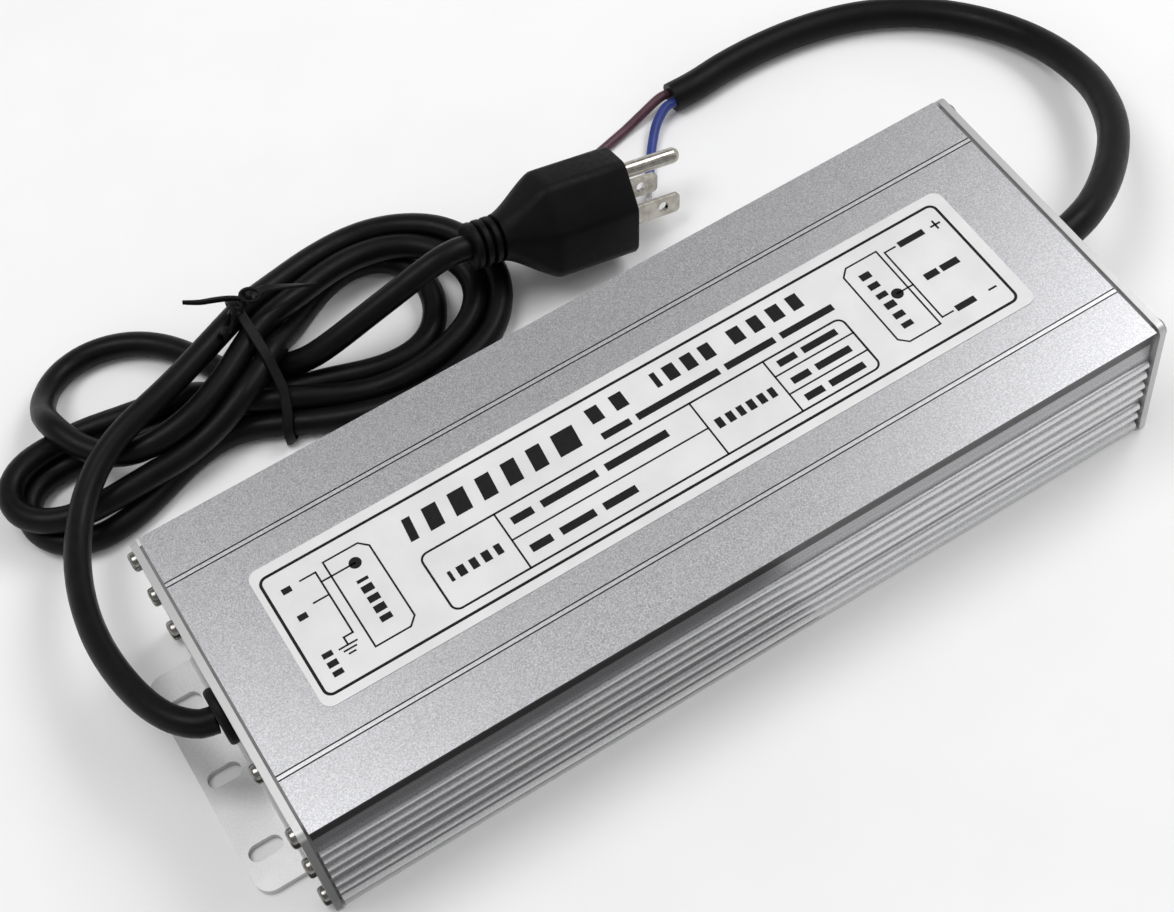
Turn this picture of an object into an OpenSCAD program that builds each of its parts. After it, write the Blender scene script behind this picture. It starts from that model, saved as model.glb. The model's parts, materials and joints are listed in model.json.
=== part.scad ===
// Potted LED driver: a ribbed aluminium extrusion closed by two end plates that
// fold out into slotted mounting feet. A mains lead with a moulded three-pin plug
// enters at -X, and a two-core low-voltage lead leaves at +X.
// Millimetres. The origin is on the mounting plane, under the middle of the case.

/* [Case] */
// Length of the aluminium extrusion
case_length = 250.4; // [240:0.2:320]
// Width of the extrusion over its top edge and ribs
case_width = 97; // [92:0.5:130]
// Height of the extrusion
case_height = 46.5; // [44:0.5:60]
// Thickness of the extruded walls
case_wall = 2; // [1.6:0.1:3]
// Height of the top edge, which slopes in below its rim
lip_height = 4.8; // [3:0.1:6]
// Depth of the side walls behind the ribs and the rim
rib_depth = 1.3; // [0.6:0.1:1.6]
// Height of the bottom skirt
skirt_height = 2.4; // [1.5:0.1:4]
// Distance between the two fine grooves along the top
top_groove_spacing = 63.4; // [50:0.2:80]
// Width of a top groove, with the bead in its middle
top_groove_width = 1.8; // [1.4:0.1:3]
// Width of the bead in a top groove
top_bead_width = 1; // [0.4:0.1:1.2]
// Depth of a top groove
top_groove_depth = 0.7; // [0.3:0.1:1.2]

/* [End plates and feet] */
// Thickness of the end plates
plate_thickness = 2; // [1.5:0.1:3]
// How far an end plate stands out round the extrusion
plate_margin = 0.6; // [0:0.1:1.5]
// Corner radius of an end plate
plate_corner = 2.5; // [1:0.1:5]
// Thickness of the gasket under an end plate
gasket_thickness = 0.8; // [0.4:0.1:2]
// Width of a mounting foot
foot_width = 72; // [60:0.5:82]
// How far a foot reaches out from its end plate
foot_reach = 14.4; // [13:0.1:24]
// Corner radius of a foot
foot_corner = 4.5; // [1:0.1:6]
// Radius inside the fold between plate and foot
fold_radius = 1.2; // [0.5:0.1:2]
// Width of a mounting slot
slot_width = 5; // [3:0.1:6]
// Length of a mounting slot, end to end
slot_length = 9.6; // [7:0.1:10]
// Distance of the slot centres from the plate's outer face
slot_offset = 7.7; // [6.5:0.1:8]
// Distance between neighbouring slots of one foot
slot_spacing = 24.5; // [15:0.1:28]

/* [End screws] */
// Diameter of a screw head
screw_head = 5.4; // [4.5:0.1:6]
// Height of a screw head
screw_head_height = 2; // [1:0.1:3]
// Diameter of a screw shank
screw_shank = 2.8; // [2:0.1:3]
// Length of a screw under its head
screw_length = 10; // [6:0.5:16]
// Inset of the side screws from the wall behind the ribs
screw_inset = 1.9; // [1.8:0.1:3]
// Distance of the top and bottom side screws from the case's edges
screw_edge = 4.2; // [3.6:0.1:5]
// Distance between the two upper screws
upper_screw_spacing = 47.4; // [40:0.2:60]
// Depth of the upper screws below the top
upper_screw_depth = 7.8; // [6:0.1:10]

/* [Cord entries] */
// Height of both cord entries above the mounting plane
entry_height = 30; // [24:0.5:34]
// Diameter of a grommet's outer flange
grommet_flange = 16; // [14:0.5:20]
// Thickness of a grommet's flange
grommet_flange_thickness = 2.5; // [1.5:0.1:4]
// Diameter of a grommet's neck in the plate
grommet_neck = 13; // [12:0.1:13.6]
// Diameter of the mains lead
mains_diameter = 7.5; // [6:0.1:8]
// Diameter of the low-voltage lead
output_diameter = 9.5; // [7:0.1:10]

/* [Rating label] */
// Length of the rating label
label_length = 214; // [120:1:236]
// Width of the rating label
label_width = 45; // [30:0.5:58]
// Thickness of the rating label
label_thickness = 0.3; // [0.1:0.05:0.5]
// Corner radius of the rating label
label_corner = 3; // [1:0.5:6]

/* [Circuit board] */
// Gap between the board's ends and the ends of the extrusion
board_end_gap = 9; // [8:0.5:16]
// Gap between the board's sides and the screw ports
board_side_gap = 1.4; // [0.5:0.1:3]
// Thickness of the circuit board
board_thickness = 1.6; // [1:0.1:2.4]
// Height of the board's underside above the insulating sheet
board_stand_off = 3.6; // [2.5:0.1:5]
// Thickness of the insulating sheet
sheet_thickness = 0.4; // [0.2:0.05:1]

/* [Plug] */
// Length of the moulded plug from its face to its collar
plug_length = 40.5; // [38:0.5:55]
// Width of the plug's face
plug_width = 28; // [26:0.5:32]
// Length of the ridged collar
collar_length = 9; // [7:0.5:14]
// Diameter of the ridged collar
collar_diameter = 14; // [12:0.5:15]
// Distance between the two flat blades
blade_spacing = 12.7; // [11:0.1:14]
// Length of the flat blades
blade_length = 18; // [15:0.5:19]
// Width of the flat blades
blade_width = 6.35; // [5:0.05:7]
// Thickness of the flat blades
blade_thickness = 1.5; // [1:0.1:2]
// Diameter of the round ground pin
pin_diameter = 4.75; // [4:0.05:6]
// Length of the round ground pin
pin_length = 21.5; // [18:0.5:24]

/* [Hidden] */
$fn = 48;
e = 0.01;
slack = 0.05;

// Side ribs as [height of the middle below the top, radius of the crest]
side_ribs = [[15.4, 1.4], [20.4, 2], [25.2, 1.8], [29.2, 1.4], [35.6, 1.8], [40.1, 1.6]];

half_length = case_length / 2;
half_width = case_width / 2;
wall_face = half_width - rib_depth;
inner_face = wall_face - case_wall;
plate_inner_x = half_length + gasket_thickness;
plate_outer_x = plate_inner_x + plate_thickness;
grommet_outer_x = plate_outer_x + grommet_flange_thickness;
plate_width = case_width + 2 * plate_margin;
plate_height = case_height + plate_margin;

// Screw places as [y, z], the same on both ends
port_radius = screw_shank / 2 + 1.45;
side_screw_y = wall_face - screw_inset;
side_screw_z = [screw_edge, case_height / 2, case_height - screw_edge];
upper_screw_z = case_height - upper_screw_depth;
screw_places = concat(
    [for (side = [-1, 1]) for (z = side_screw_z) [side * side_screw_y, z]],
    [for (side = [-1, 1]) [side * upper_screw_spacing / 2, upper_screw_z]]
);
clear_radius = screw_shank / 2 + 0.2;

// Heights inside the case
sheet_top = case_wall + sheet_thickness;
board_bottom = sheet_top + board_stand_off;
board_top = board_bottom + board_thickness;
board_length = case_length - 2 * board_end_gap;
port_face = side_screw_y - port_radius;
board_width = 2 * (port_face - board_side_gap);
sheet_width = 2 * port_face - 0.6;
spacer_radius = 3.5;
spacer_x = board_length / 2 - 8;
spacer_y = board_width / 2 - 6;
spacer_places = [for (x = [-spacer_x, 0, spacer_x]) for (y = [-spacer_y, spacer_y]) [x, y]];

// Heat bars against the side walls, with parts clamped to them
bar_thickness = 3;
bar_face = port_face - bar_thickness - 0.4;
bar_height = upper_screw_z - board_top - 2;
bar_length = 62;
pad_bottom = case_height / 2 + port_radius + 1;
pad_top = board_top + bar_height - 1;
primary_bar_x = -26;
secondary_bar_x = 52;

// Magnetics
core_length = 42;
core_depth = 15;
core_height = 28;
core_yoke = 6;
core_leg = 12;
transformer_x = 14;
inductor_x = 58;

// Distances of the end groups of parts from the board's ends
input_x = -board_length / 2;
output_x = board_length / 2;
board_side = board_width / 2;

// Mains end of the board: places as [x, y], sizes of the parts
fuse_place = [input_x + 6, board_side - 11];
fuse_cap = 5.6;
fuse_cap_length = 6;
fuse_tube = 5;
fuse_length = 22;
clip_width = 2;
varistor_place = [input_x + 20, board_side - 25];
varistor_size = [12, 4.5];
thermistor_place = [input_x + 20, 27 - board_side];
thermistor_size = [14, 5];
disc_leg = 1;
disc_leg_spacing = 5;
line_capacitor_size = [26, 12, 17];
line_capacitor_place = [input_x + 19, 11 - board_side];
choke_place = [input_x + 46, board_side - 23];
choke_ring = [6, 11, 2, 10];
choke_wire = 2;

// Power parts on the heat bars, as [width, height, thickness]
leg_height = 4;
leg_width = 1;
bridge_size = [18, 14, 4];
bridge_x = primary_bar_x - 20;
transistor_size = [10, 15, 4.5];
transistor_x = [primary_bar_x, primary_bar_x + 16];
rectifier_size = [14, 15, 4.8];
rectifier_spacing = 18;

// Capacitors, output inductor and chips
bulk_size = [18, 26];
bulk_place = [-38, 10.6];
can_step = 1;
inductor_place = [inductor_x, board_side - 33];
inductor_ring = [8, 13.5, 2, 13];
inductor_wire = 2;
smoothing_size = [12.5, 22];
smoothing_x = [output_x - 34, output_x - 20];
smoothing_y = [15 - board_side, 31 - board_side];
chip_y = 17 - board_side;
chip_x = -8;
opto_x = transformer_x;
chip_width = 6.4;
chip_height = 3;
chip_lift = 0.5;
chip_pitch = 2.54;
chip_leg = 0.6;

// Lead ends inside the case
inner_lead = 14;
core_wire = 2.2;
mains_core_y = [-2.4, 0, 2.4];
output_core_y = [-2.1, 2.1];
core_drop_x = half_length - board_end_gap - 12;

// Leads outside the case
lead_diameter = 3;
tip_diameter = 1.8;

// Plug: it lies on its lower far corner, with its collar up on the hank
plug_roll = 13;
plug_yaw = 1.4;
plug_corner = 3;
plug_shoulder = 26;
plug_low = 12.5;
plug_high = 15.5;
plug_top_width = 15;
blade_line = -3.5;
pin_rise = 8.4;
collar_place = [-2.8, 96, 26];
plug_full = plug_length + collar_length;
plug_depth = (plug_width / 2 - plug_corner) * sin(plug_roll) + (plug_low - plug_corner) * cos(plug_roll);
plug_face_z = plug_depth + plug_corner + 0.1;
plug_pitch = asin((collar_place[2] - plug_face_z) / plug_full);
plug_axis = [cos(plug_pitch) * cos(plug_yaw), -cos(plug_pitch) * sin(plug_yaw), -sin(plug_pitch)];

// Hank: two lobes with a tied waist between them
hank_left = [-119, 113];
hank_left_radius = 35;
hank_right = [-27, 108];
hank_right_radius = 33;
hank_tall = 25;
hank_low = 15;
hank_step_x = -60;
hank_flat = [[-148, 80], [-119, 113]];
waist_x = -68;
waist_y = [84, 126];
tie_width = 2.4;
tie_thickness = 0.8;
tie_slack = 0.6;
tie_knot_size = [2.4, 6, 5];
tie_knot = [waist_x, 117, hank_tall + tie_thickness + tie_knot_size[2] / 2 - 0.3];
// Tie ends as [turn, rise, length]
tie_ends = [[122, 6, 17], [-8, 3, 26]];

// Routes of the cords. The end at the case follows its grommet, and the other end stays.
mains_rest = 20.5;
output_rest = output_diameter / 2;
case_shift = grommet_outer_x - 130.5;
mains_points = [
    [-130.5, 0, 30], [-132, 0, 30], [-135, 1.4, 30.1], [-138, 4, 30.1],
    [-140.6, 7.8, 29.8], [-142.8, 12.6, 29.3], [-144.6, 18.6, 28.5], [-146, 26, 27.4],
    [-147, 35, 26], [-146.9, 45, 24.4], [-145.4, 55.5, 22.9], [-142.9, 65.5, 21.5],
    [-141, 73, 20.8], [-140.4, 77, 20.5], [-140.4, 80, 20.5]
];
plug_points = [
    [-60, 96, 19.2], [-57, 96, 19.2], [-47, 95.8, 20.4], [-37, 95.3, 22.2],
    [-28, 94.9, 24.4], [-20, 95, 26.4], [-14, 95.6, 27.4], collar_place - 6 * plug_axis,
    collar_place
];
output_points = [
    [130.5, 0, 30], [135.5, 0, 30], [144, 2.4, 29.2], [152, 6.5, 27.3],
    [160, 12, 25.2], [168, 19, 22.7], [175.5, 27.5, 20], [181.5, 37.5, 17],
    [186, 49, 13.5], [188, 61.5, 10.2], [187.5, 74, 7.6], [184, 86.5, 5.8],
    [177.5, 98, 4.9], [168.5, 108, 4.75], [157.5, 116, 4.75], [145, 121.8, 4.75],
    [131, 125.4, 4.75], [117, 127, 4.75], [104, 127, 4.75], [93, 126, 4.75],
    [84, 126, 4.75]
];
brown_points = [
    [84, 128.1, output_rest], [81, 128.1, output_rest], [74, 127, 3.2], [67, 125.6, 1.9],
    [60, 124, 1.5], [53, 122.2, 1.5], [46, 120.4, 1.5]
];
blue_points = [
    [84, 123.9, output_rest], [81, 123.9, output_rest], [75.5, 121, 3.4], [71, 116.5, 2.1],
    [67, 111.5, 1.6], [64, 107.3, 1.5], [61.5, 103.5, 1.5]
];
brown_tip_points = [[46, 120.4, 1.5], [39, 118.6, 1.5]];
blue_tip_points = [[61.5, 103.5, 1.5], [57, 96.66, 1.5]];

// Shared shapes

function unit(v) = v / norm(v);

function along(path, i) =
    unit(path[min(i + 1, len(path) - 1)] - path[max(i - 1, 0)]);

// A route whose first end moves with the case and whose height above its rest follows the entry
function routed(points, side, rest, drawn_rest) = [
    for (i = [0:len(points) - 1])
        let (p = points[i], share = 1 - i / (len(points) - 1))
        [
            p[0] + side * case_shift * share,
            p[1],
            rest + (p[2] - drawn_rest) * (entry_height - rest) / (30 - drawn_rest)
        ]
];

// A closed tube along a route, one ring of points at each place
module tube(path, diameter, sides = 10) {
    last = len(path) - 1;
    points = [
        for (i = [0:last])
            let (t = along(path, i), across = unit(cross(t, [0, 0, 1])), up = cross(across, t))
            for (k = [0:sides - 1])
                path[i] + diameter / 2 * (cos(360 * k / sides) * across + sin(360 * k / sides) * up)
    ];
    walls = [
        for (i = [0:last - 1])
            for (k = [0:sides - 1])
                let (n = (k + 1) % sides)
                [i * sides + k, i * sides + n, (i + 1) * sides + n, (i + 1) * sides + k]
    ];
    ends = [[for (k = [sides - 1:-1:0]) k], [for (k = [0:sides - 1]) last * sides + k]];
    polyhedron(points, concat(walls, ends), convexity = 10);
}

module rounded_square(length, width, corner) {
    square([length - 2 * corner, width], center = true);
    square([length, width - 2 * corner], center = true);
    for (x = [-1, 1], y = [-1, 1])
        translate([x * (length / 2 - corner), y * (width / 2 - corner)])
            circle(corner);
}

// Lays a YZ outline along X, from x = 0
module along_x(length) {
    rotate([90, 0, 90])
        linear_extrude(length)
            children();
}

// Mirrors a piece of the output end onto the input end
module at_end(side) {
    mirror([side < 0 ? 1 : 0, 0, 0])
        children();
}

module rod_x(radius, length) {
    rotate([0, 90, 0])
        cylinder(r = radius, h = length);
}

// Case

module case_outline() {
    polygon([
        [-half_width, 0], [half_width, 0],
        [half_width, skirt_height], [wall_face, skirt_height + rib_depth],
        [wall_face, case_height - lip_height], [half_width, case_height],
        [-half_width, case_height], [-wall_face, case_height - lip_height],
        [-wall_face, skirt_height + rib_depth], [-half_width, skirt_height]
    ]);
    for (rib = side_ribs, side = [-1, 1])
        translate([side * (half_width - rib[1]), case_height - rib[0]])
            circle(rib[1]);
}

module case_cavity() {
    difference() {
        translate([-inner_face, case_wall])
            square([2 * inner_face, case_height - 2 * case_wall]);
        for (place = screw_places)
            translate(place)
                circle(port_radius);
        for (side = [-1, 1])
            translate([side * upper_screw_spacing / 2 - 1, upper_screw_z])
                square([2, upper_screw_depth]);
    }
}

module case_profile() {
    difference() {
        case_outline();
        case_cavity();
        for (place = screw_places)
            translate(place)
                circle(screw_shank / 2 + slack);
        for (side = [-1, 1])
            translate([side * top_groove_spacing / 2, case_height - top_groove_depth])
                difference() {
                    translate([-top_groove_width / 2, 0])
                        square([top_groove_width, top_groove_depth + 1]);
                    translate([-top_bead_width / 2, -1])
                        square([top_bead_width, top_groove_depth + 1]);
                }
    }
}

module case_extrusion() {
    color("silver")
        translate([-half_length, 0, 0])
            along_x(case_length)
                case_profile();
}

// End plates, gaskets and screws

module plate_outline() {
    translate([0, plate_height / 2])
        rounded_square(plate_width, plate_height, plate_corner);
    translate([-plate_width / 2, 0])
        square([plate_width, plate_corner]);
}

module foot_outline() {
    translate([-1, -foot_width / 2])
        square([foot_reach - foot_corner + 1, foot_width]);
    translate([-1, -foot_width / 2 + foot_corner])
        square([foot_reach + 1, foot_width - 2 * foot_corner]);
    for (side = [-1, 1])
        translate([foot_reach - foot_corner, side * (foot_width / 2 - foot_corner)])
            circle(foot_corner);
}

module slot_outline() {
    straight = slot_length - slot_width;
    square([straight, slot_width], center = true);
    for (side = [-1, 1])
        translate([side * straight / 2, 0])
            circle(slot_width / 2);
}

module fold_fillet() {
    translate([plate_outer_x, foot_width / 2, plate_thickness])
        rotate([90, 0, 0])
            linear_extrude(foot_width)
                difference() {
                    translate([-e, -e])
                        square(fold_radius + e);
                    translate([fold_radius, fold_radius])
                        circle(fold_radius);
                }
}

module end_plate() {
    difference() {
        union() {
            translate([plate_inner_x, 0, 0])
                along_x(plate_thickness)
                    plate_outline();
            translate([plate_outer_x, 0, 0])
                linear_extrude(plate_thickness)
                    foot_outline();
            fold_fillet();
        }
        for (place = screw_places)
            translate([plate_inner_x - 1, place[0], place[1]])
                rod_x(clear_radius, plate_thickness + 2);
        translate([plate_inner_x - 1, 0, entry_height])
            rod_x(grommet_neck / 2 + slack, plate_thickness + 2);
        for (step = [-1:1])
            translate([plate_outer_x + slot_offset, step * slot_spacing, -1])
                linear_extrude(plate_thickness + 2)
                    slot_outline();
    }
}

module input_end_plate() {
    color("gainsboro") at_end(-1) end_plate();
}

module output_end_plate() {
    color("gainsboro") at_end(1) end_plate();
}

module gasket() {
    difference() {
        translate([half_length, 0, 0])
            along_x(gasket_thickness)
                translate([0, case_height / 2])
                    rounded_square(2 * wall_face, case_height, plate_corner);
        for (place = screw_places)
            translate([half_length - 1, place[0], place[1]])
                rod_x(clear_radius, gasket_thickness + 2);
        translate([half_length - 1, 0, entry_height])
            rod_x(grommet_flange / 2 + slack, gasket_thickness + 2);
    }
}

module input_gasket() {
    color("dimgray") at_end(-1) gasket();
}

module output_gasket() {
    color("dimgray") at_end(1) gasket();
}

module end_screw() {
    difference() {
        union() {
            translate([-screw_length, 0, 0])
                rod_x(screw_shank / 2, screw_length);
            rod_x(screw_head / 2, screw_head_height * 0.5);
            translate([screw_head_height * 0.5, 0, 0])
                rotate([0, 90, 0])
                    cylinder(d1 = screw_head, d2 = screw_head * 0.7, h = screw_head_height * 0.5);
        }
        for (turn = [0, 90])
            rotate([turn, 0, 0])
                translate([screw_head_height * 0.4, -screw_head * 0.28, -screw_head * 0.06])
                    cube([screw_head_height, screw_head * 0.56, screw_head * 0.12]);
    }
}

module end_screws() {
    for (place = screw_places)
        translate([plate_outer_x, place[0], place[1]])
            end_screw();
}

module input_end_screws() {
    color("lightgray") at_end(-1) end_screws();
}

module output_end_screws() {
    color("lightgray") at_end(1) end_screws();
}

// Grommets: a flange on each side of the plate and a neck through it

module grommet(bore) {
    translate([half_length, 0, entry_height])
        difference() {
            union() {
                rod_x(grommet_flange / 2, gasket_thickness);
                rod_x(grommet_neck / 2, plate_outer_x - half_length + e);
                translate([plate_outer_x - half_length, 0, 0])
                    rotate([0, 90, 0])
                        cylinder(d1 = grommet_flange, d2 = grommet_flange - 2, h = grommet_flange_thickness);
            }
            translate([-1, 0, 0])
                rod_x(bore / 2 + slack, grommet_outer_x - half_length + 2);
        }
}

module input_grommet() {
    color("black") at_end(-1) grommet(mains_diameter);
}

module output_grommet() {
    color("black") at_end(1) grommet(output_diameter);
}

module rating_label() {
    color("whitesmoke")
        translate([0, 0, case_height])
            linear_extrude(label_thickness)
                rounded_square(label_length, label_width, label_corner);
}

// Board and what lies under it

module insulating_sheet() {
    color("ivory")
        translate([-board_length / 2, -sheet_width / 2, case_wall])
            cube([board_length, sheet_width, sheet_thickness]);
}

module spacers(radius, height) {
    for (place = spacer_places)
        translate([place[0], place[1], 0])
            cylinder(r = radius, h = height);
}

module board_spacers() {
    color("white")
        translate([0, 0, sheet_top])
            spacers(spacer_radius, board_stand_off);
}

module potting_compound() {
    color("slategray")
        difference() {
            translate([-board_length / 2, -sheet_width / 2, sheet_top])
                cube([board_length, sheet_width, board_stand_off]);
            translate([0, 0, sheet_top - 1])
                spacers(spacer_radius + slack, board_stand_off + 2);
        }
}

module circuit_board() {
    color("darkgreen")
        translate([0, 0, board_bottom])
            linear_extrude(board_thickness)
                rounded_square(board_length, board_width, 2);
}

// Stands a piece on the board
module on_board(x, y) {
    translate([x, y, board_top])
        children();
}

module mains_fuse() {
    axis = fuse_cap / 2;
    color("ivory")
        on_board(fuse_place[0], fuse_place[1]) {
            for (x = [0, fuse_length - fuse_cap_length]) {
                translate([x, 0, axis])
                    rod_x(fuse_cap / 2, fuse_cap_length);
                translate([x + (fuse_cap_length - clip_width) / 2, -fuse_cap / 4, 0])
                    cube([clip_width, fuse_cap / 2, axis]);
            }
            translate([fuse_cap_length - e, 0, axis])
                rod_x(fuse_tube / 2, fuse_length - 2 * fuse_cap_length + 2 * e);
        }
}

module standing_disc(size) {
    translate([0, size[1] / 2, size[0] / 2 + disc_leg])
        rotate([90, 0, 0])
            cylinder(d = size[0], h = size[1]);
    for (x = [-disc_leg_spacing / 2, disc_leg_spacing / 2])
        translate([x - disc_leg / 2, -disc_leg / 2, 0])
            cube([disc_leg, disc_leg, size[0] / 2]);
}

module surge_varistor() {
    color("royalblue") on_board(varistor_place[0], varistor_place[1]) standing_disc(varistor_size);
}

module inrush_thermistor() {
    color("darkslategray") on_board(thermistor_place[0], thermistor_place[1]) standing_disc(thermistor_size);
}

module line_capacitor() {
    color("gold")
        on_board(line_capacitor_place[0], line_capacitor_place[1])
            linear_extrude(line_capacitor_size[2])
                rounded_square(line_capacitor_size[0], line_capacitor_size[1], 1);
}

// Section of a ring as [inner radius, outer radius, bottom, top]
module ring_section(ring, grow) {
    translate([ring[0] - grow, ring[2] - grow])
        square([ring[1] - ring[0] + 2 * grow, ring[3] - ring[2] + 2 * grow]);
}

module choke_core() {
    color("dimgray")
        on_board(choke_place[0], choke_place[1])
            rotate_extrude()
                ring_section(choke_ring, 0);
}

// Wire wound round a ring core, over part of its turn
module ring_winding(ring, wire, angle) {
    rotate([0, 0, -angle / 2])
        rotate_extrude(angle = angle)
            difference() {
                ring_section(ring, wire);
                ring_section(ring, slack);
            }
}

module choke_windings() {
    color("peru")
        on_board(choke_place[0], choke_place[1])
            for (turn = [0, 180])
                rotate([0, 0, turn])
                    ring_winding(choke_ring, choke_wire, 140);
}

// A round can with a rolled step at its top
module round_can(size) {
    cylinder(d = size[0], h = size[1] - can_step);
    cylinder(d = size[0] - can_step, h = size[1]);
}

module bulk_capacitors() {
    color("midnightblue")
        for (side = [-1, 1])
            on_board(bulk_place[0], side * bulk_place[1])
                round_can(bulk_size);
}

module heat_bar(x, side) {
    translate([x - bar_length / 2, side > 0 ? bar_face : -bar_face - bar_thickness, board_top])
        cube([bar_length, bar_thickness, bar_height]);
}

module primary_heat_bar() {
    color("lightgray") heat_bar(primary_bar_x, -1);
}

module secondary_heat_bar() {
    color("lightgray") heat_bar(secondary_bar_x, 1);
}

module thermal_pad(x, side) {
    pad_face = bar_face + bar_thickness;
    translate([x - bar_length / 2, side > 0 ? pad_face : -inner_face, pad_bottom])
        cube([bar_length, inner_face - pad_face, pad_top - pad_bottom]);
}

module thermal_pads() {
    color("lightpink") {
        thermal_pad(primary_bar_x, -1);
        thermal_pad(secondary_bar_x, 1);
    }
}

// A flat power part that leans on a heat bar, with its legs in the board
module clamped_part(x, side, size) {
    body_y = side > 0 ? bar_face - size[2] : -bar_face;
    translate([x - size[0] / 2, body_y, board_top + leg_height])
        cube([size[0], size[2], size[1]]);
    for (leg = [-1:1])
        translate([x + leg * size[0] / 3.5 - leg_width / 2, body_y + (size[2] - leg_width) / 2, board_top])
            cube([leg_width, leg_width, leg_height + e]);
}

module bridge_rectifier() {
    color("dimgray") clamped_part(bridge_x, -1, bridge_size);
}

module switching_transistors() {
    color("dimgray")
        for (x = transistor_x)
            clamped_part(x, -1, transistor_size);
}

module output_rectifiers() {
    color("dimgray")
        for (step = [-1:1])
            clamped_part(secondary_bar_x + step * rectifier_spacing, 1, rectifier_size);
}

// Transformer: two E halves make one core with two windows, wound on the middle leg

module core_windows(grow) {
    leg_gap = (core_height - 2 * core_yoke - core_leg) / 2;
    window = core_length - 2 * core_yoke;
    for (z = [core_yoke, core_height - core_yoke - leg_gap])
        translate([-window / 2, -core_depth / 2 - grow, z])
            cube([window, core_depth + 2 * grow, leg_gap]);
}

module transformer_core() {
    color("darkslategray")
        on_board(transformer_x, 0)
            difference() {
                translate([-core_length / 2, -core_depth / 2, 0])
                    cube([core_length, core_depth, core_height]);
                core_windows(1);
            }
}

module transformer_winding() {
    window = core_length - 2 * core_yoke;
    bulge = 6;
    color("goldenrod")
        on_board(transformer_x, 0)
            difference() {
                translate([-window / 2, -core_depth / 2 - bulge, core_yoke])
                    cube([window, core_depth + 2 * bulge, core_height - 2 * core_yoke]);
                translate([-window / 2 - 1, -core_depth / 2, core_height / 2 - core_leg / 2])
                    cube([window + 2, core_depth, core_leg]);
            }
}

module inductor_core() {
    color("khaki")
        on_board(inductor_place[0], inductor_place[1])
            rotate_extrude()
                ring_section(inductor_ring, 0);
}

module inductor_winding() {
    color("peru")
        on_board(inductor_place[0], inductor_place[1])
            ring_winding(inductor_ring, inductor_wire, 300);
}

module output_capacitors() {
    color("midnightblue")
        for (x = smoothing_x, y = smoothing_y)
            on_board(x, y)
                round_can(smoothing_size);
}

// A moulded chip with two rows of legs
module dual_chip(length, legs) {
    translate([-length / 2, -chip_width / 2, chip_lift])
        cube([length, chip_width, chip_height]);
    for (side = [-1, 1], leg = [0:legs - 1])
        translate([
            (leg - (legs - 1) / 2) * chip_pitch - chip_leg / 2,
            side * (chip_width / 2 + chip_leg / 4) - chip_leg / 2,
            0
        ])
            cube([chip_leg, chip_leg, chip_lift + chip_height / 2]);
}

module control_chip() {
    color("dimgray") on_board(chip_x, chip_y) dual_chip(3.8 * chip_pitch, 4);
}

module optocoupler() {
    color("white") on_board(opto_x, chip_y) dual_chip(2 * chip_pitch, 2);
}

// Leads inside the case: sheath ends through the grommets, cores down to the board

module inner_lead_end(diameter) {
    translate([half_length - inner_lead, 0, entry_height])
        rod_x(diameter / 2, grommet_outer_x - half_length + inner_lead);
}

module input_inner_lead() {
    color("black") at_end(-1) inner_lead_end(mains_diameter);
}

module output_inner_lead() {
    color("black") at_end(1) inner_lead_end(output_diameter);
}

module core_wire_down(y, drop_x) {
    translate([drop_x, y, board_top])
        cylinder(d = core_wire, h = entry_height - board_top);
    translate([drop_x, y, entry_height])
        sphere(d = core_wire);
    translate([drop_x, y, entry_height])
        rod_x(core_wire / 2, half_length - inner_lead - drop_x);
}

module mains_wires() {
    color("sienna")
        at_end(-1)
            for (y = mains_core_y)
                core_wire_down(y, core_drop_x);
}

module output_wires() {
    color("steelblue")
        at_end(1)
            for (y = output_core_y)
                core_wire_down(y, core_drop_x);
}

// Mains cord, its tied hank and its plug

module input_cord() {
    color("black") tube(routed(mains_points, -1, mains_rest, 20.5), mains_diameter);
}

module hank_outline() {
    translate(hank_left)
        circle(hank_left_radius);
    translate(hank_right)
        circle(hank_right_radius);
    translate(hank_flat[0])
        square(hank_flat[1] - hank_flat[0]);
    polygon([
        hank_left + [0, hank_left_radius], [waist_x, waist_y[1]], hank_right + [0, hank_right_radius],
        hank_right - [0, hank_right_radius], [waist_x, waist_y[0]], hank_left - [0, hank_left_radius]
    ]);
}

module input_cord_hank() {
    color("black")
        difference() {
            union() {
                linear_extrude(hank_low)
                    hank_outline();
                linear_extrude(hank_tall)
                    intersection() {
                        hank_outline();
                        translate([hank_step_x - 200, 0])
                            square(200);
                    }
            }
            translate([waist_x - tie_width / 2 - slack, 0, -1])
                cube([tie_width + 2 * slack, 200, tie_thickness + 1 + slack]);
        }
}

module tie_tail(turn, rise, length) {
    translate(tie_knot)
        rotate([0, -rise, turn])
            translate([0, -tie_width / 2, -tie_thickness / 2])
                cube([length, tie_width, tie_thickness]);
}

module tie_band_outline(grow) {
    reach = tie_slack + grow;
    translate([waist_y[0] - reach, tie_thickness - grow])
        square([waist_y[1] - waist_y[0] + 2 * reach, hank_tall - tie_thickness + 2 * grow]);
}

module cord_tie() {
    color("black") {
        translate([waist_x - tie_width / 2, 0, 0])
            along_x(tie_width)
                difference() {
                    tie_band_outline(tie_thickness);
                    tie_band_outline(0);
                }
        translate(tie_knot)
            cube(tie_knot_size, center = true);
        for (end = tie_ends)
            tie_tail(end[0], end[1], end[2]);
    }
}

module at_plug() {
    translate(collar_place)
        rotate([-plug_roll, plug_pitch, -plug_yaw])
            translate([plug_full, 0, 0])
                children();
}

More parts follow.
